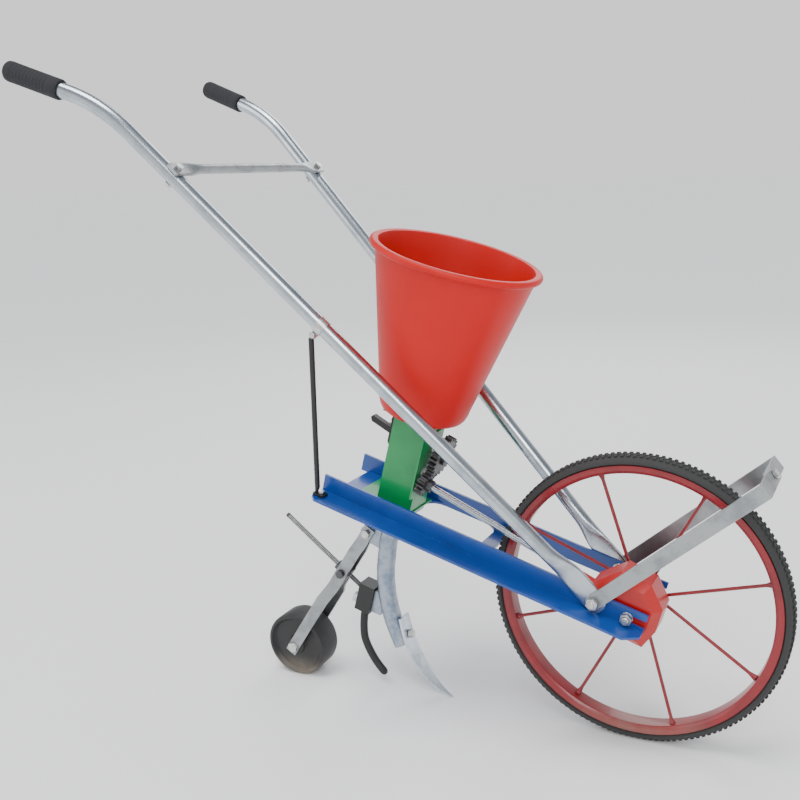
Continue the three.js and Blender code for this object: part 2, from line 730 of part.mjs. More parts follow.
function addMetering() {
  const halfWidth = housingWidth / 2;
  const front = housingFront;
  const rear = housingRear;
  const column = slabXY(rectangle(rear, -halfWidth, front, halfWidth), housingBottom, housingTop);
  const seat = box(rear - seatFlange, front + seatFlange, -halfWidth - seatFlange, halfWidth + seatFlange,
    housingTop - seatThickness, housingTop);
  const hollow = box(rear + housingWall, front - housingWall, -halfWidth + housingWall,
    halfWidth - housingWall, housingBottom - 1, housingTop + 1);
  const meteringHole = shaftSpace(meteringShaftRadius + running, meteringOffsetY, meteringOffsetZ);
  const pinHole = rod([rear - 1, gateLeverY, gateLeverZ], [rear + housingWall + 1, gateLeverY, gateLeverZ],
    smallBoltRadius + running, 12);
  add('metering_housing', cut(join(column, seat), hollow, meteringHole, pinHole), materials.green);

  const baseRear = rear - basePlateReach;
  const base = slabXY(crossPlate(baseRear, front + 2, 0, plateFillet - 8), plateTop + gap, basePlateTop);
  const trim = box(baseRear, front + 24, -halfWidth - 18, halfWidth + 18, plateTop, basePlateTop + 1);
  const seedHole = rod([seedHoleX, 0, plateTop - 1], [seedHoleX, 0, basePlateTop + 1], seedHoleRadius, 20);
  add('housing_base_plate', cut(common(base, trim), seedHole), materials.green);

  // A plate on the housing's front that carries the ends of both shafts.
  const plate = box(front + gap, front + gap + 3, driveShaftY - 14, halfWidth, 24, gateLeverZ);
  const driveHole = shaftSpace(driveShaftRadius + running, 0, 0);
  add('gear_plate', cut(plate, meteringHole, driveHole), materials.green);

  // A brush that wipes the spare seed off the roller.
  const brushTop = housingTop - seatThickness - 6;
  const brushSide = halfWidth - housingWall - gap;
  add('seed_brush', box(housingX - 20, housingX + 20, brushSide - 6.7, brushSide, brushTop - 20, brushTop),
    materials.bristle);

  addGateLever(rear);

  const base0 = housingTop + gap;
  const neck = base0 + hopperNeckHeight;
  const rim = base0 + hopperHeight;
  const wall = hopperWall;
  const profile = [
    [hopperOutletRadius, base0], [hopperBaseRadius - 6, base0], [hopperBaseRadius + 3, base0 + 3],
    [hopperNeckRadius - 3, base0 + 10], [hopperNeckRadius - 0.5, base0 + 17], [hopperNeckRadius, neck],
    [hopperTopRadius, rim - 14], [hopperTopRadius + 1, rim - 8], [hopperRimRadius - 1, rim - 7],
    [hopperRimRadius, rim - 3.5], [hopperRimRadius - 2, rim], [hopperTopRadius, rim],
    [hopperTopRadius - wall, rim - 3], [hopperTopRadius - wall, rim - 14],
    [hopperNeckRadius - wall, neck], [hopperNeckRadius - wall - 2, base0 + 12],
    [hopperBaseRadius - 6, base0 + wall + 3], [hopperOutletRadius, base0 + wall],
  ];
  const hopper = ring(profile, 48).rotateX(Math.PI / 2).translate(housingX + 2, 0, 0);
  add('hopper', hopper, materials.hopperRed);
}

// The seed gate: a lever behind the housing that turns a flap inside it.
function addGateLever(rear) {
  const plateBack = rear - gap - 4;
  const strap = slabYZ(outline([
    [gateLeverY - 7, gateLeverZ + 8], [gateLeverY + 7, gateLeverZ + 8], [gateLeverY + 7, gateLeverZ - 34],
    [gateLeverY + 3, gateLeverZ - 40], [gateLeverY - 3, gateLeverZ - 40], [gateLeverY - 7, gateLeverZ - 34],
  ]), plateBack, rear - gap);
  const arm = slabXZ(outline([
    [plateBack + 1, gateLeverZ - 22], [plateBack + 1, gateLeverZ - 12], [plateBack - 34, gateLeverZ - 4],
    [plateBack - 37, gateLeverZ - 8], [plateBack - 34, gateLeverZ - 14],
  ]), gateLeverY - 5, gateLeverY + 5);
  const pin = rod(
    [plateBack - 3, gateLeverY, gateLeverZ], [rear + 8, gateLeverY, gateLeverZ], smallBoltRadius, 12);
  const flap = box(rear + 4, rear + 7, gateLeverY - 4, gateLeverY + 7, gateLeverZ - 10, gateLeverZ + 4);
  add('seed_gate_lever', join(strap, arm, pin, flap), materials.black);
}

// ---------------------------------------------------------------- handles

const handleStart = new THREE.Vector3(handleBoltX, -(webOuter + gap + handleLug / 2), handleBoltZ);
const handleBend = new THREE.Vector3(handleBendX, -handleBendY, handleBendZ);
const handleEnd = new THREE.Vector3(handleEndX, -handleEndY, handleEndZ);
const handleDirection = handleBend.clone().sub(handleStart).normalize();
const gripDirection = handleEnd.clone().sub(handleBend).normalize();

function onHandle(share) {
  return handleStart.clone().lerp(handleBend, share);
}

// The normal of the handle at its upper side, in the plane of the tube and the vertical.
const handleNormal = new THREE.Vector3(0, 1, 0).cross(handleDirection).normalize();
if (handleNormal.z < 0) {
  handleNormal.negate();
}

// The tube's lower end: round at the top, pressed flat where it is bolted to the rail.
function handleLugGeometry() {
  const length = 118;
  const beyondBolt = 17;
  const flatUntil = 40;
  const roundFrom = 96;
  const slope = new THREE.Vector3(handleDirection.x, 0, handleDirection.z).normalize();
  const width = new THREE.Vector3(-slope.z, 0, slope.x);
  const stub = new THREE.CylinderGeometry(1, 1, length, 16, 9).translate(0, length / 2, 0);
  const place = stub.getAttribute('position');
  for (let i = 0; i < place.count; i += 1) {
    const station = place.getY(i) - beyondBolt;
    const share = THREE.MathUtils.smoothstep(station, flatUntil, roundFrom);
    const across = THREE.MathUtils.lerp(handleLug / 2, handleTubeRadius - 0.02, share);
    const wide = THREE.MathUtils.lerp(handleLugHalfWidth, handleTubeRadius - 0.02, share);
    const sideways = handleDirection.y * Math.max(station, 0) * share;
    const centre = handleStart.clone().addScaledVector(slope, station)
      .add(new THREE.Vector3(0, sideways, 0));
    const flatness = 1 - share;
    const x = Math.round(place.getX(i) * 1e6) / 1e6;
    const squared = Math.sign(x) * Math.abs(x) ** (1 - 0.75 * flatness);
    centre.addScaledVector(width, place.getZ(i) * wide);
    centre.y += squared * across;
    place.setXYZ(i, centre.x, centre.y, centre.z);
  }
  return stub;
}

function boltAcross(point, axis, before, after, radius) {
  const at = (distance) => point.clone().addScaledVector(axis, distance).toArray();
  const headLength = 1.3 * radius;
  const shank = rod(at(-before), at(after), radius, 12);
  const head = hexagon(at(after - 0.5), at(after + headLength), radius * nutShare);
  const nut = hexagon(at(-before - headLength), at(-before + 0.5), radius * nutShare);
  return join(shank, head, nut);
}

function addHandles() {
  const tangent = 46;
  const tubeStart = handleStart.clone().addScaledVector(handleDirection, 84);
  const bendStart = handleBend.clone().addScaledVector(handleDirection, -tangent);
  const bendEnd = handleBend.clone().addScaledVector(gripDirection, tangent);
  const bend = new THREE.QuadraticBezierCurve3(bendStart, handleBend, bendEnd);
  const path = new BentPath([
    tubeStart, ...bend.getPoints(7), handleEnd.clone().addScaledVector(gripDirection, -5),
  ]);
  const tube = pipe(path, handleTubeRadius, handleTubeWall);
  const boltHole = rod([handleBoltX, -webOuter - 30, handleBoltZ], [handleBoltX, -webInner, handleBoltZ],
    boltRadius + gap);
  const belowFlange = box(handleBoltX - 200, handleBoltX + 60, -webOuter - 80, -webInner, railBottom - 60,
    plateTop + gap);
  const crossbarPoint = onHandle(crossbarPlace);
  const crossbarHole = rod(
    crossbarPoint.clone().addScaledVector(handleNormal, -30).toArray(),
    crossbarPoint.clone().addScaledVector(handleNormal, 30).toArray(), smallBoltRadius + gap, 12);
  const right = cut(join(tube, handleLugGeometry()), boltHole, belowFlange, crossbarHole);
  add('right_handle_tube', right, materials.chrome);
  add('left_handle_tube', mirrored(right), materials.chrome);

  // Grips
  const bore = handleTubeRadius + gap;
  const grip = turned([
    [0, 0], [gripRadius - 5, 0], [gripRadius - 1.5, 1.5], [gripRadius, 5], [gripRadius, gripLength - 4],
    [gripRadius - 1, gripLength], [bore, gripLength], [bore, 4], [0, 4],
  ], 24);
  const gripEnd = handleEnd.toArray();
  const inward = handleEnd.clone().addScaledVector(gripDirection, -1).toArray();
  const rightGrip = between(grip, gripEnd, inward);
  add('right_grip', rightGrip, materials.black);
  add('left_grip', mirrored(rightGrip), materials.black);

  // Crossbar: a tube with pressed flat ends that lie on the handles.
  const flat = 2.5;
  const reach = -crossbarPoint.y + 12;
  const lift = handleTubeRadius + gap + flat;
  const along = new THREE.Vector3(-handleNormal.z, 0, handleNormal.x);
  const bar = new THREE.CylinderGeometry(1, 1, 2 * reach, 12, 20);
  const place = bar.getAttribute('position');
  for (let i = 0; i < place.count; i += 1) {
    const y = place.getY(i);
    const share = THREE.MathUtils.smoothstep(reach - Math.abs(y), 26, 60);
    const thick = THREE.MathUtils.lerp(flat, crossbarRadius, share);
    const wide = THREE.MathUtils.lerp(11, crossbarRadius, share);
    const centre = crossbarPoint.clone().setY(y).addScaledVector(handleNormal, lift);
    centre.addScaledVector(handleNormal, place.getX(i) * thick);
    centre.addScaledVector(along, place.getZ(i) * wide);
    place.setXYZ(i, centre.x, centre.y, centre.z);
  }
  const rightBoltHole = crossbarHole;
  const leftBoltHole = mirrored(crossbarHole);
  add('handle_crossbar', cut(bar, rightBoltHole, leftBoltHole), materials.steel);
  const before = handleTubeRadius + 1;
  const after = handleTubeRadius + 2 * flat + 2 * gap + 0.5;
  const crossbarBolt = boltAcross(crossbarPoint, handleNormal, before, after, smallBoltRadius);
  add('crossbar_bolt_right', crossbarBolt, materials.steel);
  add('crossbar_bolt_left', mirrored(crossbarBolt), materials.steel);

  // Handle bolts, with a low round head on the inside of the web and a nut outside the tow bar.
  const boltAt = (y) => [handleBoltX, y, handleBoltZ];
  const handleBolt = join(
    rod(boltAt(-webInner + 1), boltAt(-towOuter - 11), boltRadius, 16),
    rod(boltAt(-webInner + gap + 2.6), boltAt(-webInner + gap), boltRadius + 4, 20),
    hexagon(boltAt(-towOuter - gap), boltAt(-towOuter - 8), boltRadius * nutShare),
  );
  add('handle_bolt_right', handleBolt, materials.steel);
  add('handle_bolt_left', mirrored(handleBolt), materials.steel);
}

// ---------------------------------------------------------------- support rod

function addSupport() {
  const top = onHandle(supportPlace);
  const axis = handleDirection;
  const at = (distance, lift = 0) => top.clone().addScaledVector(axis, distance)
    .addScaledVector(handleNormal, lift).toArray();
  const clampHalf = 7;
  const ringOuter = handleTubeRadius + gap + 1.8;
  const band = rod(at(-clampHalf), at(clampHalf), ringOuter, 20);
  const foot = new THREE.Vector3(supportFootX, -supportFootY, plateTop + gap);
  const earTop = top.clone().addScaledVector(handleNormal, -ringOuter + 2);
  const rodTop = top.clone().addScaledVector(handleNormal, -ringOuter - 13);
  const ear = rod(earTop.toArray(), rodTop.clone().addScaledVector(handleNormal, 4.5).toArray(), 5, 12);
  const clampBolt = hexagon(
    at(0, -ringOuter - 4).map((value, i) => (i === 1 ? value - 8 : value)),
    at(0, -ringOuter - 4).map((value, i) => (i === 1 ? value + 8 : value)), 5);
  add('support_clamp', cut(join(band, ear, clampBolt), rod(at(-20), at(20), handleTubeRadius + gap, 16)),
    materials.darkSteel);

  const footTop = foot.z + supportFootThickness;
  const headRadius = smallBoltRadius * nutShare;
  const footAt = (z) => [foot.x, foot.y, z];
  const tab = box(foot.x - 10, foot.x + 8, foot.y - 7.5, foot.y + 7.5, foot.z, footTop);
  const shank = rod([foot.x - 6, foot.y, footTop - 1], rodTop.toArray(), supportRadius, 12);
  const hole = rod(footAt(foot.z - 1), footAt(footTop + 1), smallBoltRadius + gap, 12);
  const headSpace = rod(footAt(footTop), footAt(footTop + 8), headRadius + 1, 12);
  add('support_rod', cut(join(shank, tab), hole, headSpace), materials.black);
  add('support_bolt', join(
    rod(footAt(railBottom - 7), footAt(footTop + gap + 1), smallBoltRadius, 12),
    hexagon(footAt(footTop + gap), footAt(footTop + gap + 4), headRadius),
    hexagon(footAt(railBottom - 5), footAt(railBottom - gap), headRadius),
  ), materials.steel);
}

// ---------------------------------------------------------------- tow frame

// A flat bar on edge from the handle bolt, bent square across the front of the wheel.
function towBarGeometry(side, level) {
  const half = towBarWidth / 2;
  const profile = new THREE.Shape();
  profile.moveTo(towBarLength, -half);
  profile.lineTo(towBarLength, half);
  profile.lineTo(0, half);
  profile.absarc(0, 0, half, Math.PI / 2, 3 * Math.PI / 2, false);
  const bar = slabXZ(profile, -towOuter, -towInner);
  const crossStart = towBarLength - towBarWall - level;
  const cross = box(crossStart, crossStart + towBarWall, -towOuter, towOverlap, -half, half);
  const beyond = box(crossStart + towBarWall, towBarLength + 10, -towOuter - 1, -towInner + 1,
    -towBarWidth, towBarWidth);
  const hole = rod([0, -towOuter - 1, 0], [0, -towInner + 1, 0], boltRadius + running, 16);
  const lockHole = rod([crossStart - 1, 0, 0], [crossStart + towBarWall + 1, 0, 0], pinRadius + gap, 12);
  const shape = cut(join(bar, cross), beyond, hole, lockHole);
  const placed = side < 0 ? shape : mirrored(shape);
  return placed.rotateY(-towBarAngle).translate(handleBoltX, 0, handleBoltZ);
}

function addTowFrame() {
  const step = towBarWall + gap;
  add('tow_bar_right', towBarGeometry(-1, 0), materials.steel);
  add('tow_bar_left', towBarGeometry(1, step), materials.steel);
  const front = towBarLength;
  const back = towBarLength - towBarWall - step;
  const headRadius = pinRadius * nutShare;
  add('tow_bolt', join(
    rod([back - 7, 0, 0], [front + 1, 0, 0], pinRadius, 12),
    hexagon([front + gap, 0, 0], [front + 5.5, 0, 0], headRadius),
    hexagon([back - 6, 0, 0], [back - gap, 0, 0], headRadius),
  ).rotateY(-towBarAngle).translate(handleBoltX, 0, handleBoltZ), materials.steel);
}

// ---------------------------------------------------------------- opener, share and tine

// A place near the ground, measured back and up from the share's tip.
function fromTip(back, up) {
  return [shareTip.x + back, 0, shareTip.z + up];
}

const openerTop = railBottom - gap;
const openerPath = smoothPath([seedHoleX, 0, openerTop], [
  [seedHoleX, 0, railBottom - openerStraight], fromTip(-168.2, 167.7), fromTip(-154.2, 125.7),
  fromTip(-134.2, 87.7), fromTip(-108.2, 53.7),
], 8);
const tineX = shareTip.x + tineOffset - openerRadius;
const clampRear = tineX - clampLength / 2;
const clampFront = tineX + clampLength / 2;
const clampBottom = shareTip.z + clampBottomRise;
const clampTop = clampBottom + clampHeight;

function addOpener() {
  const tube = pipe(openerPath, openerRadius, openerWall);
  const boreRadius = openerRadius - openerWall;
  const flange = box(seedHoleX - 34, seedHoleX + 34, -30, 30, openerTop - 5, openerTop);
  const flangeHole = rod([seedHoleX, 0, openerTop + 1], [seedHoleX, 0, openerTop - 30], boreRadius, 18);
  const armLug = slabXZ(outline([
    [armPivotX - 13, armPivotZ + 3], [armPivotX - 13, armPivotZ - 8], [armPivotX - 5, armPivotZ - 14],
    [seedHoleX, armPivotZ - 20], [seedHoleX, armPivotZ + 30], [armPivotX - 5, armPivotZ + 14],
  ]), -armLugHalf, armLugHalf);
  const armHole = rod([armPivotX, -armLugHalf - 1, armPivotZ], [armPivotX, armLugHalf + 1, armPivotZ],
    pinRadius + gap, 12);
  const clampLug = box(clampFront, clampFront + 18, -8, 8, clampBottom + 4, clampTop - 6);
  const inside = pipe(openerPath, boreRadius, 0);
  const shareHole = rod(sharePoint(-40), sharePoint(20), pinRadius + gap, 12);
  const body = join(tube, flange, armLug, clampLug);
  add('opener_tube', cut(body, flangeHole, inside, armHole, shareHole), materials.castGrey);

  addShare(shareHole);
  addTine();
}

// The share is a bent plate that narrows to a point at the ground.
function addShare(shareHole) {
  const steps = 14;
  const curve = new THREE.SplineCurve([
    [-117, 104.7], [-104, 80.7], [-86, 54.7], [-55, 24.7], [-25, 7.7], [0, 1],
  ].map(([back, up]) => new THREE.Vector2(shareTip.x + back, shareTip.z + up)));
  const back = [];
  const face = curve.getSpacedPoints(steps).map((point, i) => {
    const tangent = curve.getTangentAt(i / steps);
    const thickness = THREE.MathUtils.lerp(shareThickness, 1, (i / steps) ** 2);
    back.push([point.x + tangent.y * thickness, point.y - tangent.x * thickness]);
    return [point.x, point.y];
  });
  const strip = slabXZ(outline([...face, ...back.reverse()]), -shareHalfWidth, shareHalfWidth);
  // Half of the plan: x behind the tip, and the share of the half width there.
  const edge = [[-133, 0.8], [-108, 0.93], [-88, 1], [-63, 0.9], [-33, 0.55], [1, 0.1]];
  const side = (sign) => edge.map(([back, share]) => [shareTip.x + back, sign * share * shareHalfWidth]);
  const plan = slabXY(outline([...side(-1), ...side(1).reverse()]), shareTip.z - 30, shareTip.z + 130);
  const clear = pipe(openerPath, openerRadius + gap, 0);
  add('opener_share', cut(common(strip, plan), clear, shareHole), materials.steel);

  const seat = new THREE.Vector3(...sharePoint(0));
  const axis = new THREE.Vector3(...sharePoint(1)).sub(seat);
  const at = (distance) => seat.clone().addScaledVector(axis, distance).toArray();
  add('share_bolt', join(
    rod(at(-openerRadius - 1), at(7), pinRadius, 12),
    hexagon(at(6.5), at(12), pinRadius * nutShare),
  ), materials.steel);
}

// The clamp behind the opener holds the tine and the foot of the depth screw.
function addTine() {
  const boltZ = clampBottom + 13;
  const boltEnd = tineX - tineRadius - gap;
  const boltAt = (x) => [x, 0, boltZ];
  const clamp = box(clampRear, clampFront - gap, -clampHalfWidth, clampHalfWidth, clampBottom, clampTop);
  const shankHole = rod([tineX, 0, clampBottom - 1], [tineX, 0, clampBottom + tineDepth + 1],
    tineRadius + gap, 16);
  const boltHole = rod(boltAt(clampRear - 1), boltAt(boltEnd + 1), boltRadius + gap, 12);
  const screwHole = rod(screwAt(-2), screwAt(30), depthScrewRadius + gap, 12);
  add('tine_clamp', cut(clamp, shankHole, boltHole, screwHole), materials.black);
  add('tine_clamp_bolt', join(
    rod(boltAt(clampRear - 8), boltAt(boltEnd), boltRadius, 12),
    hexagon(boltAt(clampRear - 10), boltAt(clampRear - gap), boltRadius * nutShare),
  ), materials.steel);

  const tine = smoothPath([tineX, 0, clampBottom + tineDepth], [
    [tineX, 0, clampBottom - 8], [tineX + 4, 0, clampBottom - 34], fromTip(-176.2, 26.7),
    fromTip(-152.2, -0.3), fromTip(-125.2, -18.3),
  ], 8);
  add('covering_tine', pipe(tine, tineRadius, 0, 12), materials.black);
}

// A point at a distance in front of the opener's lower end, square to it, where the share is bolted.
function sharePoint(distance) {
  const u = 0.93;
  const centre = openerPath.getPointAt(u);
  const tangent = openerPath.getTangentAt(u);
  const front = new THREE.Vector3(-tangent.z, 0, tangent.x);
  if (front.x < 0) {
    front.negate();
  }
  return centre.addScaledVector(front, openerRadius + distance).toArray();
}

// ---------------------------------------------------------------- press roller

const pivotAlong = armPivotX * Math.cos(standPitch) + armPivotZ * Math.sin(standPitch);
const pivotHeight = heightAboveGround(armPivotX, armPivotZ);
const armDrop = Math.asin((pivotHeight - rollerRadius) / armLength);
const [rollerX, rollerZ] = groundPoint(pivotAlong - armLength * Math.cos(armDrop), rollerRadius);
const armDirection = new THREE.Vector3(rollerX - armPivotX, 0, rollerZ - armPivotZ).normalize();
const blockCentre = new THREE.Vector3(armPivotX, 0, armPivotZ).addScaledVector(armDirection, blockStation);
const screwFoot = new THREE.Vector3(clampRear + 5, 0, clampBottom + depthScrewSeat);
const screwDirection = blockCentre.clone().sub(screwFoot).normalize();

// A point on the depth screw's axis, at a distance up from its foot in the clamp.
function screwAt(distance) {
  return screwFoot.clone().addScaledVector(screwDirection, distance).toArray();
}

// One arm: a strap that steps outwards twice between its pivot and the roller.
function armGeometry() {
  const t = armWall;
  const y0 = armLugHalf + gap;
  const y1 = blockHalfWidth + gap;
  const y2 = rollerHalfWidth + 1 + gap;
  const inner = [[-12, y0], [24, y0], [42, y1], [126, y1], [152, y2], [armLength + 14, y2]];
  const outer = [
    [armLength + 14, y2 + t], [150, y2 + t], [124, y1 + t], [40, y1 + t], [22, y0 + t], [-12, y0 + t],
  ];
  const strap = slabXY(outline([...inner, ...outer]), -armWidth / 2, armWidth / 2);
  const hole = (station, radius) => rod([station, 0, 0], [station, 60, 0], radius, 16);
  const body = cut(strap, hole(0, pinRadius + running), hole(blockStation, pinRadius + gap),
    hole(armLength, rollerAxleRadius + gap));
  // Local X runs along the arm, local Y is sideways, and local Z stays square to both.
  const frame = new THREE.Matrix4().makeBasis(
    armDirection, new THREE.Vector3(0, 1, 0),
    armDirection.clone().cross(new THREE.Vector3(0, 1, 0)));
  return body.applyMatrix4(frame).translate(armPivotX, 0, armPivotZ);
}

function addPressRoller() {
  const left = closed(armGeometry());
  add('press_arm_left', left, materials.steel);
  add('press_arm_right', mirrored(left), materials.steel);

  const pivot = (y) => [armPivotX, y, armPivotZ];
  const armOut = armLugHalf + gap + armWall + gap;
  const headRadius = pinRadius * nutShare;
  add('arm_pivot_bolt', join(
    rod(pivot(-armOut - 1), pivot(armOut + 1), pinRadius, 12),
    hexagon(pivot(-armOut - 5), pivot(-armOut), headRadius),
    hexagon(pivot(armOut), pivot(armOut + 5), headRadius),
  ), materials.steel);

  const axle = (y) => [rollerX, y, rollerZ];
  const axleOut = rollerHalfWidth + 1 + 2 * gap + armWall;
  add('roller_axle', join(
    rod(axle(-axleOut - 1), axle(axleOut + 1), rollerAxleRadius, 16),
    hexagon(axle(-axleOut - 5), axle(-axleOut), rollerAxleRadius * nutShare),
    hexagon(axle(axleOut), axle(axleOut + 5), rollerAxleRadius * nutShare),
  ), materials.steel);

  const bore = rollerAxleRadius + running;
  // Half of its section, from the bore outwards: radius, and distance in from the roller's side.
  const section = [
    [bore, 0], [bore + 8.7, 0], [bore + 10.7, 5], [rollerRadius - 9, 5], [rollerRadius - 7, 0],
    [rollerRadius - 3, 0], [rollerRadius, 4],
  ];
  const roller = ring([
    ...section.map(([r, inset]) => [r, inset - rollerHalfWidth]),
    ...section.map(([r, inset]) => [r, rollerHalfWidth - inset]).reverse(),
  ], 40).translate(rollerX, 0, rollerZ);
  add('press_roller', roller, materials.black);

  // The depth block turns between the arms and slides along the depth screw.
  const half = blockSize / 2;
  const blockTurn = Math.atan2(-screwDirection.z, screwDirection.x);
  const pinEnd = blockHalfWidth + armWall + 4;
  const pins = rod([0, -pinEnd, 0], [0, pinEnd, 0], pinRadius, 12);
  const heads = [-1, 1].map((side) => hexagon(
    [0, side * (blockHalfWidth + armWall + 2 * gap), 0], [0, side * (pinEnd + 2), 0], headRadius));
  const screwSpace = rod([-60, 0, 0], [60, 0, 0], depthScrewRadius + depthScrewPlay, 16);
  const body = box(-half, half, -blockHalfWidth, blockHalfWidth, -half, half);
  const lockNut = hexagon([half - 0.5, 0, 0], [half + 6, 0, 0], depthScrewRadius * nutShare + 1);
  const block = cut(join(body, pins, ...heads, lockNut), screwSpace)
    .rotateY(blockTurn).translate(blockCentre.x, blockCentre.y, blockCentre.z);
  add('depth_block', block, materials.darkSteel);

  add('depth_screw', rod(screwAt(gap), screwAt(depthScrewLength), depthScrewRadius, 16), materials.steel);
}

// ---------------------------------------------------------------- assembly

addFrame();
addDriveLine();
addWheelGear();
addGuard();
addWheel();
addMetering();
addHandles();
addSupport();
addTowFrame();
addOpener();
addPressRoller();

root.rotation.y = standPitch;
root.updateMatrixWorld(true);
const bounds = new THREE.Box3().setFromObject(root, true);
root.position.set(-(bounds.min.x + bounds.max.x) / 2, -(bounds.min.y + bounds.max.y) / 2, -bounds.min.z);

const seeder = new THREE.Group();
seeder.name = 'push_seeder';
seeder.add(root);

export default seeder;
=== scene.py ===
"""Push seeder: the finished look of a hand-pushed seed drill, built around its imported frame."""

import json
import math

import bmesh
import bpy
from bpy.props import FloatProperty, FloatVectorProperty, IntProperty, PointerProperty
from mathutils import Matrix, Vector


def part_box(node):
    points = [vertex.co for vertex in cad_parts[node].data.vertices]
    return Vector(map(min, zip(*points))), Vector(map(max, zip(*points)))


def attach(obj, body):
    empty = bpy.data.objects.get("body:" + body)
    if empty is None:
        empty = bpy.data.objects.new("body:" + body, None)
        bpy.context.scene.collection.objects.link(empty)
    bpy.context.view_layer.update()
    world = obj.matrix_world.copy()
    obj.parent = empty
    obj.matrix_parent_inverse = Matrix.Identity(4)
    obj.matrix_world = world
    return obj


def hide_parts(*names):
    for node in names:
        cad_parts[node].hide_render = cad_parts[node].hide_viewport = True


bl_info = {
    "name": "Push seeder",
    "version": (1, 0, 0),
    "blender": (4, 5, 0),
    "location": "View3D > Sidebar > Seeder",
    "description": "Builds the finished pieces of a push seeder around its frame",
    "category": "Object",
}

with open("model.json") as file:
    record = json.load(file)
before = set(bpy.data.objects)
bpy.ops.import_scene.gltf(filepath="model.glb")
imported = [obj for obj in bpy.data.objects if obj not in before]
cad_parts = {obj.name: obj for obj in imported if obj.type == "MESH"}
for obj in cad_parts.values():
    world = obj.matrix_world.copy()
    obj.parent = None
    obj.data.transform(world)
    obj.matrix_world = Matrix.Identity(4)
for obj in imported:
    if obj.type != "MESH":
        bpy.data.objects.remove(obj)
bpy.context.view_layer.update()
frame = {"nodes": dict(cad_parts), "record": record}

# The machine is drawn level, in millimetres from the wheel's centre, and stands nose down.
STAND_PITCH = math.radians(17)
AXLE_LOW, AXLE_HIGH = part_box("axle")
WHEEL_CENTRE = (Vector(AXLE_LOW) + Vector(AXLE_HIGH)) / 2
LEVEL = (
    Matrix.Translation(WHEEL_CENTRE)
    @ Matrix.Rotation(STAND_PITCH, 4, "Y")
    @ Matrix.Scale(0.001, 4)
)

# Places, turns and fixed sizes on the level machine.
AXLE_RADIUS, AXLE_HALF_LENGTH = 5.5, 73
SPOKE_COUNT = 8
FIRST_SPOKE = math.radians(33)
SPOKE_START, SPOKE_END = 24.5, 198.5
BEVEL_APEX = Vector((0, -28, 0))
SHAFT_TILT = math.radians(8.56)
SHAFT_START, SHAFT_END, SHAFT_RADIUS = 25.3, 377, 5
HOPPER_X, HOPPER_BASE = -404, 149.7
HOPPER_NECK_RISE, HOPPER_RIM_RISE = 26, 251
HANDLE_BOLT = Vector((-51, -63.3, 6))
HANDLE_BEND = Vector((-892, -184, 477))
HANDLE_END = Vector((-1041, -207, 486))
BEND_REACH = 52
FOOT_HALF_WIDTH, FOOT_HALF_DEPTH = 16.5, 3
TINE_PATH = ((-426, 0, -197), (-426, 0, -212), (-426, 0, -230), (-422, 0, -256),
             (-413, 0, -281), (-389, 0, -308), (-362, 0, -326))
THREAD_DEPTH = 0.7

# Where the camera stands and how it is turned, in the level machine's axes.
CAMERA_PLACE = Vector((145.9, -1236.6, 689.3))
CAMERA_AHEAD = Vector((-0.2776, 0.8880, -0.3663))
CAMERA_UP = Vector((-0.3555, 0.2592, 0.8978))


# ---------------------------------------------------------------- sizes and colours


def size_mm(name, default, description):
    return FloatProperty(name=name, description=description, default=default, min=0.0)


def colour(name, default, description):
    return FloatVectorProperty(
        name=name, description=description, default=default, subtype="COLOR", size=3, min=0, max=1
    )


class SeederSizes(bpy.types.PropertyGroup):
    wheel_radius: size_mm("Wheel radius", 225, "Radius over the tread, mm")
    tyre_half_width: size_mm("Tyre half width", 17.5, "Half the tyre's width, mm")
    tread_height: size_mm("Tread height", 0.9, "Height of a tread lug, mm")
    tread_count: IntProperty(
        name="Tread lugs", description="Lugs in one row round the tyre", default=150, min=8
    )
    rim_outer: size_mm("Rim outer radius", 212, "Radius of the rim's flanges, mm")
    rim_inner: size_mm("Rim inner radius", 199, "Radius of the rim's bore, mm")
    rim_half_width: size_mm("Rim half width", 15.5, "Half the rim's width, mm")
    spoke_radius: size_mm("Spoke radius", 2.6, "Radius of a spoke, mm")
    hopper_rim: size_mm("Hopper rim radius", 127.5, "Radius over the hopper's rolled lip, mm")
    hopper_top: size_mm("Hopper top radius", 118, "Radius of the hopper below its lip, mm")
    hopper_neck: size_mm("Hopper neck radius", 71.5, "Radius where the cone starts, mm")
    hopper_wall: size_mm("Hopper wall", 3, "Thickness of the hopper's wall, mm")
    handle_radius: size_mm("Handle radius", 11, "Radius of a handle tube, mm")
    grip_radius: size_mm("Grip radius", 14.5, "Radius of a grip, mm")
    grip_length: size_mm("Grip length", 86, "Length of a grip, mm")
    roller_radius: size_mm("Roller radius", 56, "Radius of the press roller, mm")
    roller_half_width: size_mm("Roller half width", 24, "Half the press roller's width, mm")
    tine_radius: size_mm("Tine radius", 6.5, "Radius of the covering tine, mm")
    screw_radius: size_mm("Screw radius", 4.5, "Radius of the depth screw, mm")
    thread_pitch: size_mm("Thread pitch", 2.6, "Pitch of the depth screw's thread, mm")
    edge: size_mm("Edge rounding", 0.5, "Rounding of the edges of plates and bolts, mm")


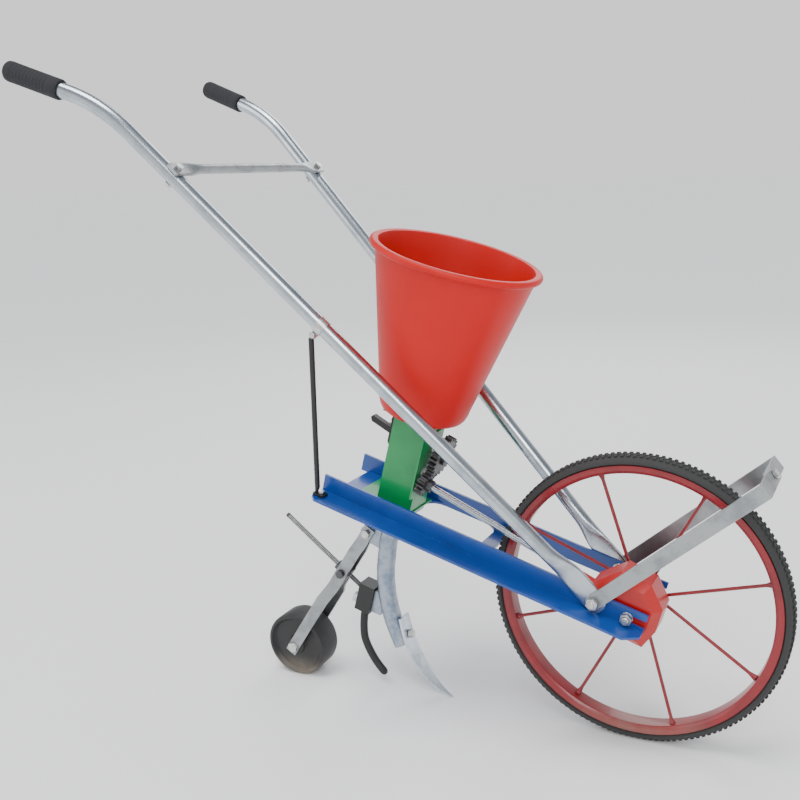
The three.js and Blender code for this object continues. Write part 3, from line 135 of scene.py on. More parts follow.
class SeederColours(bpy.types.PropertyGroup):
    rail_blue: colour("Rail blue", (0.002, 0.055, 0.29), "Paint of the rails and cross plates")
    housing_green: colour("Housing green", (0.0, 0.27, 0.065), "Paint of the metering housing")
    hopper_red: colour("Hopper red", (0.56, 0.003, 0.0015), "Plastic of the hopper")
    guard_red: colour("Guard red", (0.46, 0.004, 0.002), "Paint of the gear guard")
    wheel_red: colour("Wheel red", (0.24, 0.0015, 0.007), "Paint of the rim, the spokes and the hub")
    bright_steel: colour("Bright steel", (0.50, 0.55, 0.59), "Plating of the handles")
    plain_steel: colour("Plain steel", (0.36, 0.38, 0.39), "Flat bars, bolts and nuts")
    dull_iron: colour("Dull iron", (0.36, 0.41, 0.46), "The opener's tube")
    black: colour("Black paint", (0.014, 0.014, 0.015), "Tine, clamp and gate lever")
    rubber: colour("Tyre rubber", (0.022, 0.022, 0.021), "Rubber of the tyre")


def sizes():
    return bpy.context.scene.seeder_sizes


def colours():
    return bpy.context.scene.seeder_colours


# ---------------------------------------------------------------- materials


def link_new(tree, node_type, **settings):
    node = tree.nodes.new(node_type)
    for key, value in settings.items():
        setattr(node, key, value)
    return node


def finish_group():
    """A node group that gives a finish its patches of colour (painted shade on the bright tubes), its gloss
    and its grain.
    """
    found = bpy.data.node_groups.get("wear_and_shade_finish")
    if found:
        return found
    group = bpy.data.node_groups.new("wear_and_shade_finish", "ShaderNodeTree")
    sockets = group.interface
    for name, kind, default in (
        ("Colour", "NodeSocketColor", (0.5, 0.5, 0.5, 1)),
        ("Patch Colour", "NodeSocketColor", (0.4, 0.4, 0.4, 1)),
        ("Patch Amount", "NodeSocketFloat", 0.5),
        ("Patch Scale", "NodeSocketFloat", 12.0),
        ("Grain Scale", "NodeSocketFloat", 400.0),
        ("Gloss Low", "NodeSocketFloat", 0.3),
        ("Gloss High", "NodeSocketFloat", 0.5),
        ("Stretch", "NodeSocketVector", (1, 1, 1)),
        ("Dust Colour", "NodeSocketColor", (0.35, 0.29, 0.22, 1)),
        ("Dust Height", "NodeSocketFloat", 0.0),
    ):
        socket = sockets.new_socket(name, in_out="INPUT", socket_type=kind)
        socket.default_value = default
    sockets.new_socket("Colour", in_out="OUTPUT", socket_type="NodeSocketColor")
    sockets.new_socket("Roughness", in_out="OUTPUT", socket_type="NodeSocketFloat")
    sockets.new_socket("Height", in_out="OUTPUT", socket_type="NodeSocketFloat")
    link = group.links.new
    given = link_new(group, "NodeGroupInput")
    result = link_new(group, "NodeGroupOutput")
    place = link_new(group, "ShaderNodeTexCoord")
    stretch = link_new(group, "ShaderNodeVectorMath", operation="MULTIPLY")
    link(place.outputs["Object"], stretch.inputs[0])
    link(given.outputs["Stretch"], stretch.inputs[1])

    patches = link_new(group, "ShaderNodeTexNoise")
    patches.inputs["Detail"].default_value = 6
    patches.inputs["Roughness"].default_value = 0.6
    link(stretch.outputs[0], patches.inputs["Vector"])
    link(given.outputs["Patch Scale"], patches.inputs["Scale"])
    spread = link_new(group, "ShaderNodeMapRange", interpolation_type="SMOOTHSTEP")
    spread.inputs["From Min"].default_value = 0.42
    spread.inputs["From Max"].default_value = 0.68
    link(patches.outputs["Fac"], spread.inputs["Value"])
    amount = link_new(group, "ShaderNodeMath", operation="MULTIPLY")
    link(spread.outputs["Result"], amount.inputs[0])
    link(given.outputs["Patch Amount"], amount.inputs[1])
    mixed = link_new(group, "ShaderNodeMix", data_type="RGBA")
    link(amount.outputs[0], mixed.inputs[0])
    link(given.outputs["Colour"], mixed.inputs[6])
    link(given.outputs["Patch Colour"], mixed.inputs[7])

    grain = link_new(group, "ShaderNodeTexNoise")
    grain.inputs["Detail"].default_value = 3
    link(stretch.outputs[0], grain.inputs["Vector"])
    link(given.outputs["Grain Scale"], grain.inputs["Scale"])
    gloss = link_new(group, "ShaderNodeMapRange")
    link(patches.outputs["Fac"], gloss.inputs["Value"])
    link(given.outputs["Gloss Low"], gloss.inputs["To Min"])
    link(given.outputs["Gloss High"], gloss.inputs["To Max"])

    # Dust lies thickest near the ground.
    split = link_new(group, "ShaderNodeSeparateXYZ")
    link(place.outputs["Object"], split.inputs[0])
    fade = link_new(group, "ShaderNodeMapRange", interpolation_type="SMOOTHSTEP")
    fade.inputs["From Min"].default_value = 0
    fade.inputs["To Min"].default_value = 0.75
    fade.inputs["To Max"].default_value = 0
    link(split.outputs["Z"], fade.inputs["Value"])
    link(given.outputs["Dust Height"], fade.inputs["From Max"])
    settled = link_new(group, "ShaderNodeMath", operation="MULTIPLY")
    link(fade.outputs["Result"], settled.inputs[0])
    link(patches.outputs["Fac"], settled.inputs[1])
    dusty = link_new(group, "ShaderNodeMix", data_type="RGBA")
    link(settled.outputs[0], dusty.inputs[0])
    link(mixed.outputs[2], dusty.inputs[6])
    link(given.outputs["Dust Colour"], dusty.inputs[7])

    link(dusty.outputs[2], result.inputs["Colour"])
    link(gloss.outputs["Result"], result.inputs["Roughness"])
    link(grain.outputs["Fac"], result.inputs["Height"])
    return group


def finish(name, base, patch=None, amount=0.5, patch_scale=12, grain=400, gloss=(0.3, 0.5),
           metallic=0.0, bump=0.1, depth=0.0004, stretch=(1, 1, 1), dust=0.0001,
           dust_colour=(0.35, 0.29, 0.22), coat=0.0, coat_roughness=0.1, specular=0.5):
    """A material with patches of a second colour, a grain and dust near the ground."""
    found = bpy.data.materials.get(name)
    if found:
        return found
    made = bpy.data.materials.new(name)
    made.use_nodes = True
    tree = made.node_tree
    shader = tree.nodes["Principled BSDF"]
    shader.inputs["Metallic"].default_value = metallic
    shader.inputs["Specular IOR Level"].default_value = specular
    shader.inputs["Coat Weight"].default_value = coat
    shader.inputs["Coat Roughness"].default_value = coat_roughness
    wear_and_shade = link_new(tree, "ShaderNodeGroup", node_tree=finish_group())
    patch = patch or tuple(0.8 * value for value in base)
    wear_and_shade.inputs["Colour"].default_value = (*base, 1)
    wear_and_shade.inputs["Patch Colour"].default_value = (*patch, 1)
    wear_and_shade.inputs["Patch Amount"].default_value = amount
    wear_and_shade.inputs["Patch Scale"].default_value = patch_scale
    wear_and_shade.inputs["Grain Scale"].default_value = grain
    wear_and_shade.inputs["Gloss Low"].default_value = gloss[0]
    wear_and_shade.inputs["Gloss High"].default_value = gloss[1]
    wear_and_shade.inputs["Stretch"].default_value = stretch
    wear_and_shade.inputs["Dust Colour"].default_value = (*dust_colour, 1)
    wear_and_shade.inputs["Dust Height"].default_value = dust
    relief = link_new(tree, "ShaderNodeBump")
    relief.inputs["Strength"].default_value = bump
    relief.inputs["Distance"].default_value = depth
    tree.links.new(wear_and_shade.outputs["Colour"], shader.inputs["Base Color"])
    tree.links.new(wear_and_shade.outputs["Roughness"], shader.inputs["Roughness"])
    tree.links.new(wear_and_shade.outputs["Height"], relief.inputs["Height"])
    tree.links.new(relief.outputs["Normal"], shader.inputs["Normal"])
    return made


def rail_paint():
    return finish("rail_blue_paint", tuple(colours().rail_blue), patch=(0.001, 0.035, 0.19), amount=0.6,
                  gloss=(0.22, 0.46), bump=0.12, coat=0.35)


def housing_paint():
    return finish("housing_green_paint", tuple(colours().housing_green), patch=(0.0, 0.17, 0.05),
                  gloss=(0.25, 0.5), bump=0.12, coat=0.3)


def hopper_plastic():
    return finish("hopper_red_plastic", tuple(colours().hopper_red), patch=(0.47, 0.002, 0.001),
                  amount=0.5, patch_scale=7, grain=260, gloss=(0.36, 0.55), bump=0.08,
                  depth=0.0005, specular=0.3)


def guard_paint():
    return finish("guard_red_paint", tuple(colours().guard_red), patch=(0.36, 0.003, 0.0015),
                  gloss=(0.3, 0.5), bump=0.14, coat=0.25)


def wheel_paint():
    return finish("wheel_red_paint", tuple(colours().wheel_red), patch=(0.16, 0.001, 0.004), amount=0.7,
                  patch_scale=20, gloss=(0.25, 0.5), bump=0.12, coat=0.3, dust=0.06)


def bright_tube():
    # The darker patch colour is painted shade: its blotches stand in for the dark reflections seen along
    # chrome tubes.
    return finish("bright_tube_plating", tuple(colours().bright_steel), patch=(0.30, 0.34, 0.38),
                  amount=0.6, patch_scale=30, grain=900, gloss=(0.16, 0.34), metallic=1.0, bump=0.05,
                  depth=0.0002)


def flat_steel():
    return finish("flat_bar_steel", tuple(colours().plain_steel), patch=(0.22, 0.23, 0.24), amount=0.7,
                  patch_scale=35, grain=700, gloss=(0.24, 0.46), metallic=1.0, bump=0.1, depth=0.0002)


def bolt_steel():
    return finish("bolt_steel", (0.62, 0.63, 0.62), patch=(0.42, 0.40, 0.36), amount=0.6, patch_scale=90,
                  grain=900, gloss=(0.22, 0.42), metallic=1.0, bump=0.08, depth=0.0002)


def gear_iron():
    return finish("gear_dark_iron", (0.10, 0.10, 0.105), patch=(0.05, 0.045, 0.04), amount=0.8,
                  patch_scale=60, grain=500, gloss=(0.3, 0.55), metallic=0.9, bump=0.2)


def opener_iron():
    return finish("opener_worn_iron", tuple(colours().dull_iron), patch=(0.05, 0.12, 0.28), amount=0.5,
                  patch_scale=60, grain=330, gloss=(0.28, 0.5), metallic=0.75, bump=0.25, dust=0.03)


def share_steel():
    return finish("share_polished_steel", (0.66, 0.72, 0.79), patch=(0.36, 0.42, 0.50), amount=0.7,
                  patch_scale=36, grain=800, gloss=(0.18, 0.4), metallic=1.0, bump=0.08)


def black_paint():
    return finish("black_paint", tuple(colours().black), patch=(0.04, 0.038, 0.036), amount=0.5,
                  patch_scale=40, gloss=(0.28, 0.52), bump=0.15, dust=0.03)


def roller_black():
    return finish("roller_black_rubber", (0.012, 0.012, 0.0125), patch=(0.03, 0.029, 0.028), amount=0.6,
                  patch_scale=25, grain=300, gloss=(0.42, 0.65), bump=0.2, dust=0.04)


def tyre_rubber():
    return finish("tyre_rubber", tuple(colours().rubber), patch=(0.075, 0.066, 0.056), amount=0.8,
                  patch_scale=45, grain=500, gloss=(0.6, 0.85), bump=0.35, depth=0.0006, dust=0.05,
                  specular=0.3)


def grip_rubber():
    return finish("grip_rubber", (0.014, 0.015, 0.017), patch=(0.03, 0.031, 0.034), amount=0.5,
                  patch_scale=40, grain=650, gloss=(0.45, 0.62), bump=0.3, specular=0.4)


def seed_plastic():
    return finish("seed_roller_plastic", (0.78, 0.74, 0.64), gloss=(0.35, 0.5), bump=0.1)


def brush_bristle():
    return finish("brush_bristle", (0.42, 0.30, 0.12), patch=(0.25, 0.17, 0.06), amount=0.9, grain=900,
                  stretch=(1, 1, 0.06), gloss=(0.6, 0.8), bump=0.8, depth=0.001)


def floor_finish():
    pale = (0.88, 0.88, 0.88)
    return finish("pale_floor", pale, amount=0, gloss=(0.8, 0.8), bump=0, specular=0.1, dust_colour=pale)


# ---------------------------------------------------------------- mesh helpers


def sharpened(mesh, angle):
    """Shades the mesh smooth, with its edges sharp where faces turn by more than the angle."""
    work = bmesh.new()
    work.from_mesh(mesh)
    for face in work.faces:
        face.smooth = True
    for edge in work.edges:
        faces = edge.link_faces
        edge.smooth = len(faces) != 2 or faces[0].normal.angle(faces[1].normal, 0) < angle
    work.to_mesh(mesh)
    work.free()


def piece(name, points, faces, material, angle=30):
    """A closed piece from points of the level machine, in millimetres."""
    mesh = bpy.data.meshes.new(name)
    mesh.from_pydata([LEVEL @ Vector(point) for point in points], [], faces)
    mesh.validate()
    work = bmesh.new()
    work.from_mesh(mesh)
    bmesh.ops.remove_doubles(work, verts=work.verts, dist=1e-6)
    bmesh.ops.recalc_face_normals(work, faces=work.faces)
    work.to_mesh(mesh)
    work.free()
    sharpened(mesh, math.radians(angle))
    mesh.materials.append(material)
    obj = bpy.data.objects.new(name, mesh)
    bpy.context.scene.collection.objects.link(obj)
    return obj


def lathe(name, profile, material, centre=(0, 0, 0), axis=(0, 1, 0), segments=96, closed=True, angle=30):
    """A turned piece. The profile is a list of (radius, distance along the axis)."""
    turn = Vector((0, 1, 0)).rotation_difference(Vector(axis).normalized()).to_matrix()
    centre = Vector(centre)
    points = []
    for step in range(segments):
        a = 2 * math.pi * step / segments
        for radius, along in profile:
            points.append(centre + turn @ Vector((radius * math.cos(a), along, radius * math.sin(a))))
    count = len(profile)
    faces = []
    for step in range(segments):
        here, there = step * count, (step + 1) % segments * count
        for i in range(count if closed else count - 1):
            j = (i + 1) % count
            faces.append((here + i, here + j, there + j, there + i))
    if not closed:
        for i in (0, count - 1):
            if profile[i][0] > 1e-6:
                faces.append(tuple(step * count + i for step in range(segments)))
    return piece(name, points, faces, material, angle)


def rounded(profile, amount, steps=3):
    """The profile with each corner rounded by up to the amount."""
    out = []
    count = len(profile)
    for i, (x, y) in enumerate(profile):
        before, after = Vector(profile[i - 1]), Vector(profile[(i + 1) % count])
        here = Vector((x, y))
        reach = min(amount, 0.45 * (before - here).length, 0.45 * (after - here).length)
        start = here + (before - here).normalized() * reach
        end = here + (after - here).normalized() * reach
        for k in range(steps + 1):
            t = k / steps
            out.append(tuple(start * (1 - t) ** 2 + here * 2 * t * (1 - t) + end * t ** 2))
    return out


def rod(name, start, end, radius, material, segments=28, chamfer=0.8):
    """A round bar with chamfered ends."""
    start, end = Vector(start), Vector(end)
    length = (end - start).length
    profile = [(0, 0), (radius - chamfer, 0), (radius, chamfer), (radius, length - chamfer),
               (radius - chamfer, length), (0, length)]
    return lathe(name, profile, material, start, end - start, segments, closed=False)


def sweep(name, stations, material, sides=32, angle=40):
    """A piece swept through stations.

    A station is (centre, half width, half depth, squareness, width axis, depth axis).
    """
    points = []
    for centre, wide, deep, square, across, thick in stations:
        for k in range(sides):
            a = 2 * math.pi * k / sides
            u, v = math.cos(a), math.sin(a)
            power = 1 - 0.8 * square
            u = math.copysign(abs(u) ** power, u)
            v = math.copysign(abs(v) ** power, v)
            points.append(Vector(centre) + Vector(across) * (wide * u) + Vector(thick) * (deep * v))
    faces = []
    for i in range(len(stations) - 1):
        for k in range(sides):
            n = (k + 1) % sides
            faces.append((i * sides + k, i * sides + n, (i + 1) * sides + n, (i + 1) * sides + k))
    faces.append(tuple(range(sides)))
    faces.append(tuple((len(stations) - 1) * sides + k for k in range(sides)))
    return piece(name, points, faces, material, angle)


def round_stations(path, radius):
    """Stations of a round bar along a path of points."""
    path = [Vector(point) for point in path]
    stations = []
    across = None
    for i, centre in enumerate(path):
        tangent = (path[min(i + 1, len(path) - 1)] - path[max(i - 1, 0)]).normalized()
        if across is None:
            across = tangent.orthogonal().normalized()
        across = (across - tangent * across.dot(tangent)).normalized()
        thick = tangent.cross(across)
        stations.append((centre, radius, radius, 0, across, thick))
    return stations


def eased(share):
    """The share held to 0..1, with a soft start and a soft end."""
    t = min(max(share, 0), 1)
    return t * t * (3 - 2 * t)


def smooth_path(points, per_span=8):
    """A smooth path through the points."""
    points = [Vector(point) for point in points]
    path = []
    for i in range(len(points) - 1):
        a, b = points[max(i - 1, 0)], points[i]
        c, d = points[i + 1], points[min(i + 2, len(points) - 1)]
        for k in range(per_span):
            t = k / per_span
            path.append(0.5 * (2 * b + (c - a) * t + (2 * a - 5 * b + 4 * c - d) * t ** 2
                               + (3 * b - a - 3 * c + d) * t ** 3))
    path.append(points[-1])
    return path


def finish_piece(obj, body, slot, *nodes):
    """Puts the piece on its body and in the place of the nodes it stands for."""
    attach(obj, body)
    if nodes:
        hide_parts(*nodes)
    return obj


def body_holding(node):
    for body, members in frame["record"]["behaviour"]["bodies"].items():
        if node in members:
            return body
    raise RuntimeError(f"no body holds {node}")


def slot_of(node):
    for entry in frame["record"]["subparts"]:
        if entry["node"] == node:
            return entry["material_slot"]
    raise RuntimeError(f"no slot for {node}")


def refined(node, material, edge=None, angle=32):
    """A copy of a node with merged faces and rounded edges, which stands for it."""
    edge = sizes().edge if edge is None else edge
    mesh = frame["nodes"][node].data.copy()
    mesh.name = node + "_finished"
    mesh.materials.clear()
    work = bmesh.new()
    work.from_mesh(mesh)
    bmesh.ops.remove_doubles(work, verts=work.verts, dist=2e-6)
    bmesh.ops.dissolve_limit(
        work, angle_limit=math.radians(1.0), verts=work.verts, edges=work.edges, delimit={"NORMAL"})
    bmesh.ops.recalc_face_normals(work, faces=work.faces)
    work.to_mesh(mesh)
    work.free()
    sharpened(mesh, math.radians(angle))
    mesh.materials.append(material)
    obj = bpy.data.objects.new(node + "_finished", mesh)
    bpy.context.scene.collection.objects.link(obj)
    if edge > 0:
        rounding = obj.modifiers.new("rounded_edges", "BEVEL")
        rounding.width = edge / 1000
        rounding.segments = 2
        rounding.limit_method = "ANGLE"
        rounding.angle_limit = math.radians(angle)
        rounding.harden_normals = False
    return finish_piece(obj, body_holding(node), slot_of(node), node)


# ---------------------------------------------------------------- repeats


def repeat_tree(name, inputs):
    """A new geometry tree with its inputs and its ends."""
    tree = bpy.data.node_groups.new(name, "GeometryNodeTree")
    for label, kind, default in inputs:
        socket = tree.interface.new_socket(label, in_out="INPUT", socket_type=kind)
        if default is not None:
            socket.default_value = default
    tree.interface.new_socket("Geometry", in_out="OUTPUT", socket_type="NodeSocketGeometry")
    return tree, link_new(tree, "NodeGroupInput"), link_new(tree, "NodeGroupOutput")


def close_tree(tree, given, result, geometry):
    real = link_new(tree, "GeometryNodeRealizeInstances")
    painted = link_new(tree, "GeometryNodeSetMaterial")
    tree.links.new(geometry, real.inputs["Geometry"])
    tree.links.new(real.outputs["Geometry"], painted.inputs["Geometry"])
    tree.links.new(given.outputs["Material"], painted.inputs["Material"])
    tree.links.new(painted.outputs["Geometry"], result.inputs["Geometry"])


def grown(name, tree, values, place, material):
    """The tree's result as a plain mesh, put in place."""
    carrier = bpy.data.objects.new(name, bpy.data.meshes.new(name))
    bpy.context.scene.collection.objects.link(carrier)
    growth = carrier.modifiers.new("growth", "NODES")
    growth.node_group = tree
    for item in tree.interface.items_tree:
        if item.item_type == "SOCKET" and item.in_out == "INPUT" and item.name in values:
            growth[item.identifier] = values[item.name]
    bpy.context.view_layer.update()
    graph = bpy.context.evaluated_depsgraph_get()
    mesh = bpy.data.meshes.new_from_object(carrier.evaluated_get(graph), depsgraph=graph)
    if not mesh.polygons:
        raise RuntimeError(f"{name} grew nothing")
    carrier.modifiers.remove(growth)
    carrier.data = mesh
    mesh.transform(place)
    if not mesh.materials:
        mesh.materials.append(material)
    work = bmesh.new()
    work.from_mesh(mesh)
    bmesh.ops.recalc_face_normals(work, faces=work.faces)
    work.to_mesh(mesh)
    work.free()
    return carrier


def tread_tree():
    """Three staggered rows of tapered lugs round a circle in the XY plane."""
    tree, given, result = repeat_tree("tread_rows", (
        ("Count", "NodeSocketInt", 96), ("Radius", "NodeSocketFloat", 0.2),
        ("Lug Length", "NodeSocketFloat", 0.008), ("Lug Width", "NodeSocketFloat", 0.008),
        ("Lug Height", "NodeSocketFloat", 0.002), ("Row Spacing", "NodeSocketFloat", 0.01),
        ("Material", "NodeSocketMaterial", None)))
    link = tree.links.new
    circle = link_new(tree, "GeometryNodeMeshCircle")
    link(given.outputs["Count"], circle.inputs["Vertices"])
    link(given.outputs["Radius"], circle.inputs["Radius"])
    lug = link_new(tree, "GeometryNodeMeshCone")
    lug.inputs["Vertices"].default_value = 4
    lug.inputs["Radius Top"].default_value = 0.52
    lug.inputs["Radius Bottom"].default_value = 0.70
    lug.inputs["Depth"].default_value = 1
    squared = link_new(tree, "GeometryNodeTransform")
    squared.inputs["Rotation"].default_value = (0, 0, math.pi / 4)
    link(lug.outputs["Mesh"], squared.inputs["Geometry"])
    lug_size = link_new(tree, "ShaderNodeCombineXYZ")
    link(given.outputs["Lug Width"], lug_size.inputs["X"])
    link(given.outputs["Lug Length"], lug_size.inputs["Y"])
    link(given.outputs["Lug Height"], lug_size.inputs["Z"])
    sized = link_new(tree, "GeometryNodeTransform")
    link(squared.outputs["Geometry"], sized.inputs["Geometry"])
    link(lug_size.outputs[0], sized.inputs["Scale"])

    index = link_new(tree, "GeometryNodeInputIndex")
    turn_each = link_new(tree, "ShaderNodeMath", operation="DIVIDE")
    turn_each.inputs[0].default_value = 2 * math.pi
    link(given.outputs["Count"], turn_each.inputs[1])
    angle = link_new(tree, "ShaderNodeMath", operation="MULTIPLY")
    link(index.outputs[0], angle.inputs[0])
    link(turn_each.outputs[0], angle.inputs[1])
    facing = link_new(tree, "ShaderNodeCombineXYZ")
    facing.inputs["Y"].default_value = math.pi / 2
    link(angle.outputs[0], facing.inputs["Z"])
    placed = link_new(tree, "GeometryNodeInstanceOnPoints")
    link(circle.outputs["Mesh"], placed.inputs["Points"])
    link(sized.outputs["Geometry"], placed.inputs["Instance"])
    link(facing.outputs[0], placed.inputs["Rotation"])

    joined = link_new(tree, "GeometryNodeJoinGeometry")
    half_turn = link_new(tree, "ShaderNodeMath", operation="MULTIPLY")
    half_turn.inputs[1].default_value = 0.5
    link(turn_each.outputs[0], half_turn.inputs[0])
    for row, staggered in ((-1, False), (0, True), (1, False)):
        shift = link_new(tree, "ShaderNodeMath", operation="MULTIPLY")
        shift.inputs[1].default_value = row
        link(given.outputs["Row Spacing"], shift.inputs[0])
        offset = link_new(tree, "ShaderNodeCombineXYZ")
        link(shift.outputs[0], offset.inputs["Z"])
        moved = link_new(tree, "GeometryNodeTransform")
        link(placed.outputs["Instances"], moved.inputs["Geometry"])
        link(offset.outputs[0], moved.inputs["Translation"])
        if staggered:
            spin = link_new(tree, "ShaderNodeCombineXYZ")
            link(half_turn.outputs[0], spin.inputs["Z"])
            link(spin.outputs[0], moved.inputs["Rotation"])
        link(moved.outputs["Geometry"], joined.inputs["Geometry"])
    close_tree(tree, given, result, joined.outputs["Geometry"])
    return tree


def thread_tree():
    """Thread crests along Z: a ring on each point of a line."""
    tree, given, result = repeat_tree("thread_crests", (
        ("Count", "NodeSocketInt", 60), ("Pitch", "NodeSocketFloat", 0.0018),
        ("Radius", "NodeSocketFloat", 0.004), ("Crest", "NodeSocketFloat", 0.0006),
        ("Material", "NodeSocketMaterial", None)))
    link = tree.links.new
    line = link_new(tree, "GeometryNodeMeshLine", mode="OFFSET")
    link(given.outputs["Count"], line.inputs["Count"])
    step = link_new(tree, "ShaderNodeCombineXYZ")
    link(given.outputs["Pitch"], step.inputs["Z"])
    link(step.outputs[0], line.inputs["Offset"])
    path = link_new(tree, "GeometryNodeCurvePrimitiveCircle")
    path.inputs["Resolution"].default_value = 20
    link(given.outputs["Radius"], path.inputs["Radius"])
    section = link_new(tree, "GeometryNodeCurvePrimitiveCircle")
    section.inputs["Resolution"].default_value = 4
    link(given.outputs["Crest"], section.inputs["Radius"])
    crest = link_new(tree, "GeometryNodeCurveToMesh")
    link(path.outputs["Curve"], crest.inputs["Curve"])
    link(section.outputs["Curve"], crest.inputs["Profile Curve"])
    placed = link_new(tree, "GeometryNodeInstanceOnPoints")
    link(line.outputs["Mesh"], placed.inputs["Points"])
    link(crest.outputs["Mesh"], placed.inputs["Instance"])
    close_tree(tree, given, result, placed.outputs["Instances"])
    return tree


def threaded(name, start, end, radius, material):
    """The crests of a thread along a bar from start to end."""
    start, end = Vector(start), Vector(end)
    pitch = sizes().thread_pitch
    tree = bpy.data.node_groups.get("thread_crests") or thread_tree()
    turn = Vector((0, 0, 1)).rotation_difference(end - start).to_matrix().to_4x4()
    place = LEVEL @ Matrix.Translation(start) @ turn @ Matrix.Scale(1000, 4)
    return grown(name, tree, {
        "Count": int((end - start).length / pitch), "Pitch": pitch / 1000,
        "Radius": (radius - THREAD_DEPTH) / 1000, "Crest": THREAD_DEPTH / 1000, "Material": material,
    }, place, material)


# ---------------------------------------------------------------- operators


class PieceOperator:
    bl_options = {"REGISTER", "UNDO"}

    def execute(self, context):
        self.make()
        return {"FINISHED"}


class SEEDER_OT_wheel(PieceOperator, bpy.types.Operator):
    """Tyre with its tread, rim, spokes and hub"""

    bl_idname = "seeder.wheel"
    bl_label = "Front wheel"

    def make(self):
        s = sizes()
        crown = s.wheel_radius - s.tread_height
        half = s.tyre_half_width
        inset, shoulder = 2.8, 7
        seat, bead = s.rim_inner + inset, s.rim_half_width - inset
        flank = [(seat, -bead), (s.rim_outer + 0.4, -bead), (s.rim_outer + 2.5, -half),
                 (crown - shoulder, -half)]
        profile = list(flank)
        for k in range(1, 12):
            a = math.pi * k / 12
            profile.append((crown - shoulder + shoulder * math.sin(a), -half * math.cos(a)))
        profile += [(radius, -along) for radius, along in reversed(flank)]
        tyre = lathe("tyre_body", profile, tyre_rubber(), segments=160, angle=40)
        turn = Matrix.Rotation(math.radians(-90), 4, "X")
        place = LEVEL @ turn @ Matrix.Scale(1000, 4)
        lugs = grown("tyre_lugs", tread_tree(), {
            "Count": s.tread_count, "Radius": (crown - 0.2) / 1000, "Lug Length": 0.0058,
            "Lug Width": 0.0062, "Lug Height": 2 * s.tread_height / 1000, "Row Spacing": 0.0072,
            "Material": tyre_rubber()}, place, tyre_rubber())
        finish_piece(tyre, "front_wheel", "tyre_rubber", "tyre")
        finish_piece(lugs, "front_wheel", "tyre_rubber")

        wall = 2.5
        rim = rounded([
            (s.rim_inner, -s.rim_half_width + 4), (s.rim_inner + 5, -s.rim_half_width),
            (s.rim_outer, -s.rim_half_width), (s.rim_outer, -s.rim_half_width + wall),
            (s.rim_inner + wall, -s.rim_half_width + wall + 1.5),
            (s.rim_inner + wall, s.rim_half_width - wall - 1.5),
            (s.rim_outer, s.rim_half_width - wall), (s.rim_outer, s.rim_half_width),
            (s.rim_inner + 5, s.rim_half_width), (s.rim_inner, s.rim_half_width - 4)], 1.1)
        finish_piece(lathe("rim_rolled", rim, wheel_paint(), segments=144, angle=35),
                     "front_wheel", "rim_red", "wheel_rim")

        for i in range(SPOKE_COUNT):
            a = FIRST_SPOKE + 2 * math.pi * i / SPOKE_COUNT
            out = Vector((math.cos(a), 0, math.sin(a)))
            hub_y, rim_y = (8, -3) if i % 2 == 0 else (38, 3)
            inner = out * SPOKE_START + Vector((0, hub_y, 0))
            outer = out * SPOKE_END + Vector((0, rim_y, 0))
            along, length = (outer - inner).normalized(), (outer - inner).length
            r = s.spoke_radius
            profile = [(0, 0), (r + 2.2, 0), (r + 1.8, 2.5), (r + 0.4, 6), (r, 10), (r, 165),
                       (r + 0.6, 169), (r + 2.4, length), (0, length)]
            spoke = lathe(f"spoke_bar_{i + 1}", profile, wheel_paint(), inner, along, 18,
                          closed=False, angle=50)
            finish_piece(spoke, "front_wheel", "rim_red", f"spoke_{i + 1}")

        bore, barrel, flange = 5.8, 14, 24
        hub = rounded([
            (bore, -5.7), (barrel, -5.7), (barrel, 5.5), (flange, 5.5), (flange, 10.5), (barrel, 10.5),
            (barrel, 35.5), (flange, 35.5), (flange, 40.5), (barrel, 40.5), (barrel, 55), (bore, 55)], 0.9)
        finish_piece(lathe("hub_turned", hub, wheel_paint(), segments=64, angle=35),
                     "front_wheel", "rim_red", "wheel_hub")
        refined("wheel_bevel_gear", gear_iron(), 0.25)


class SEEDER_OT_frame(PieceOperator, bpy.types.Operator):
    """Rails and the plates between them"""

    bl_idname = "seeder.frame"
    bl_label = "Rails and plates"

    def make(self):
        for node in ("right_rail", "left_rail", "rear_cross_plate", "front_cross_member"):
            refined(node, rail_paint(), 0.7)
        refined("axle_nut_right", bolt_steel())
        refined("axle_nut_left", bolt_steel())
        axle = rod("axle_bar", (0, -AXLE_HALF_LENGTH, 0), (0, AXLE_HALF_LENGTH, 0), AXLE_RADIUS,
                   bolt_steel())
        finish_piece(axle, "frame", "steel", "axle")


class SEEDER_OT_drive(PieceOperator, bpy.types.Operator):
    """Drive shaft, gears and the gear guard"""

    bl_idname = "seeder.drive"
    bl_label = "Drive line"

    def make(self):
        refined("gear_guard", guard_paint(), 1.2, 20)
        back = Vector((-math.cos(SHAFT_TILT), 0, math.sin(SHAFT_TILT)))
        shaft = rod("drive_shaft_bar", BEVEL_APEX + back * SHAFT_END, BEVEL_APEX + back * SHAFT_START,
                    SHAFT_RADIUS, bright_tube(), 40)
        finish_piece(shaft, "drive_line", "bright_tube", "drive_shaft")
        for node in ("drive_pinion", "bevel_pinion", "metering_gear"):
            refined(node, gear_iron(), 0.25)


class SEEDER_OT_metering(PieceOperator, bpy.types.Operator):
    """Metering housing with its roller, brush and gate lever"""

    bl_idname = "seeder.metering"
    bl_label = "Metering housing"

    def make(self):
        for node in ("metering_housing", "housing_base_plate", "gear_plate"):
            refined(node, housing_paint(), 0.6)
        refined("seed_roller", seed_plastic(), 0.3)
        refined("metering_shaft", bolt_steel(), 0.5)
        refined("seed_brush", brush_bristle(), 0.3)
        refined("seed_gate_lever", black_paint(), 0.6)


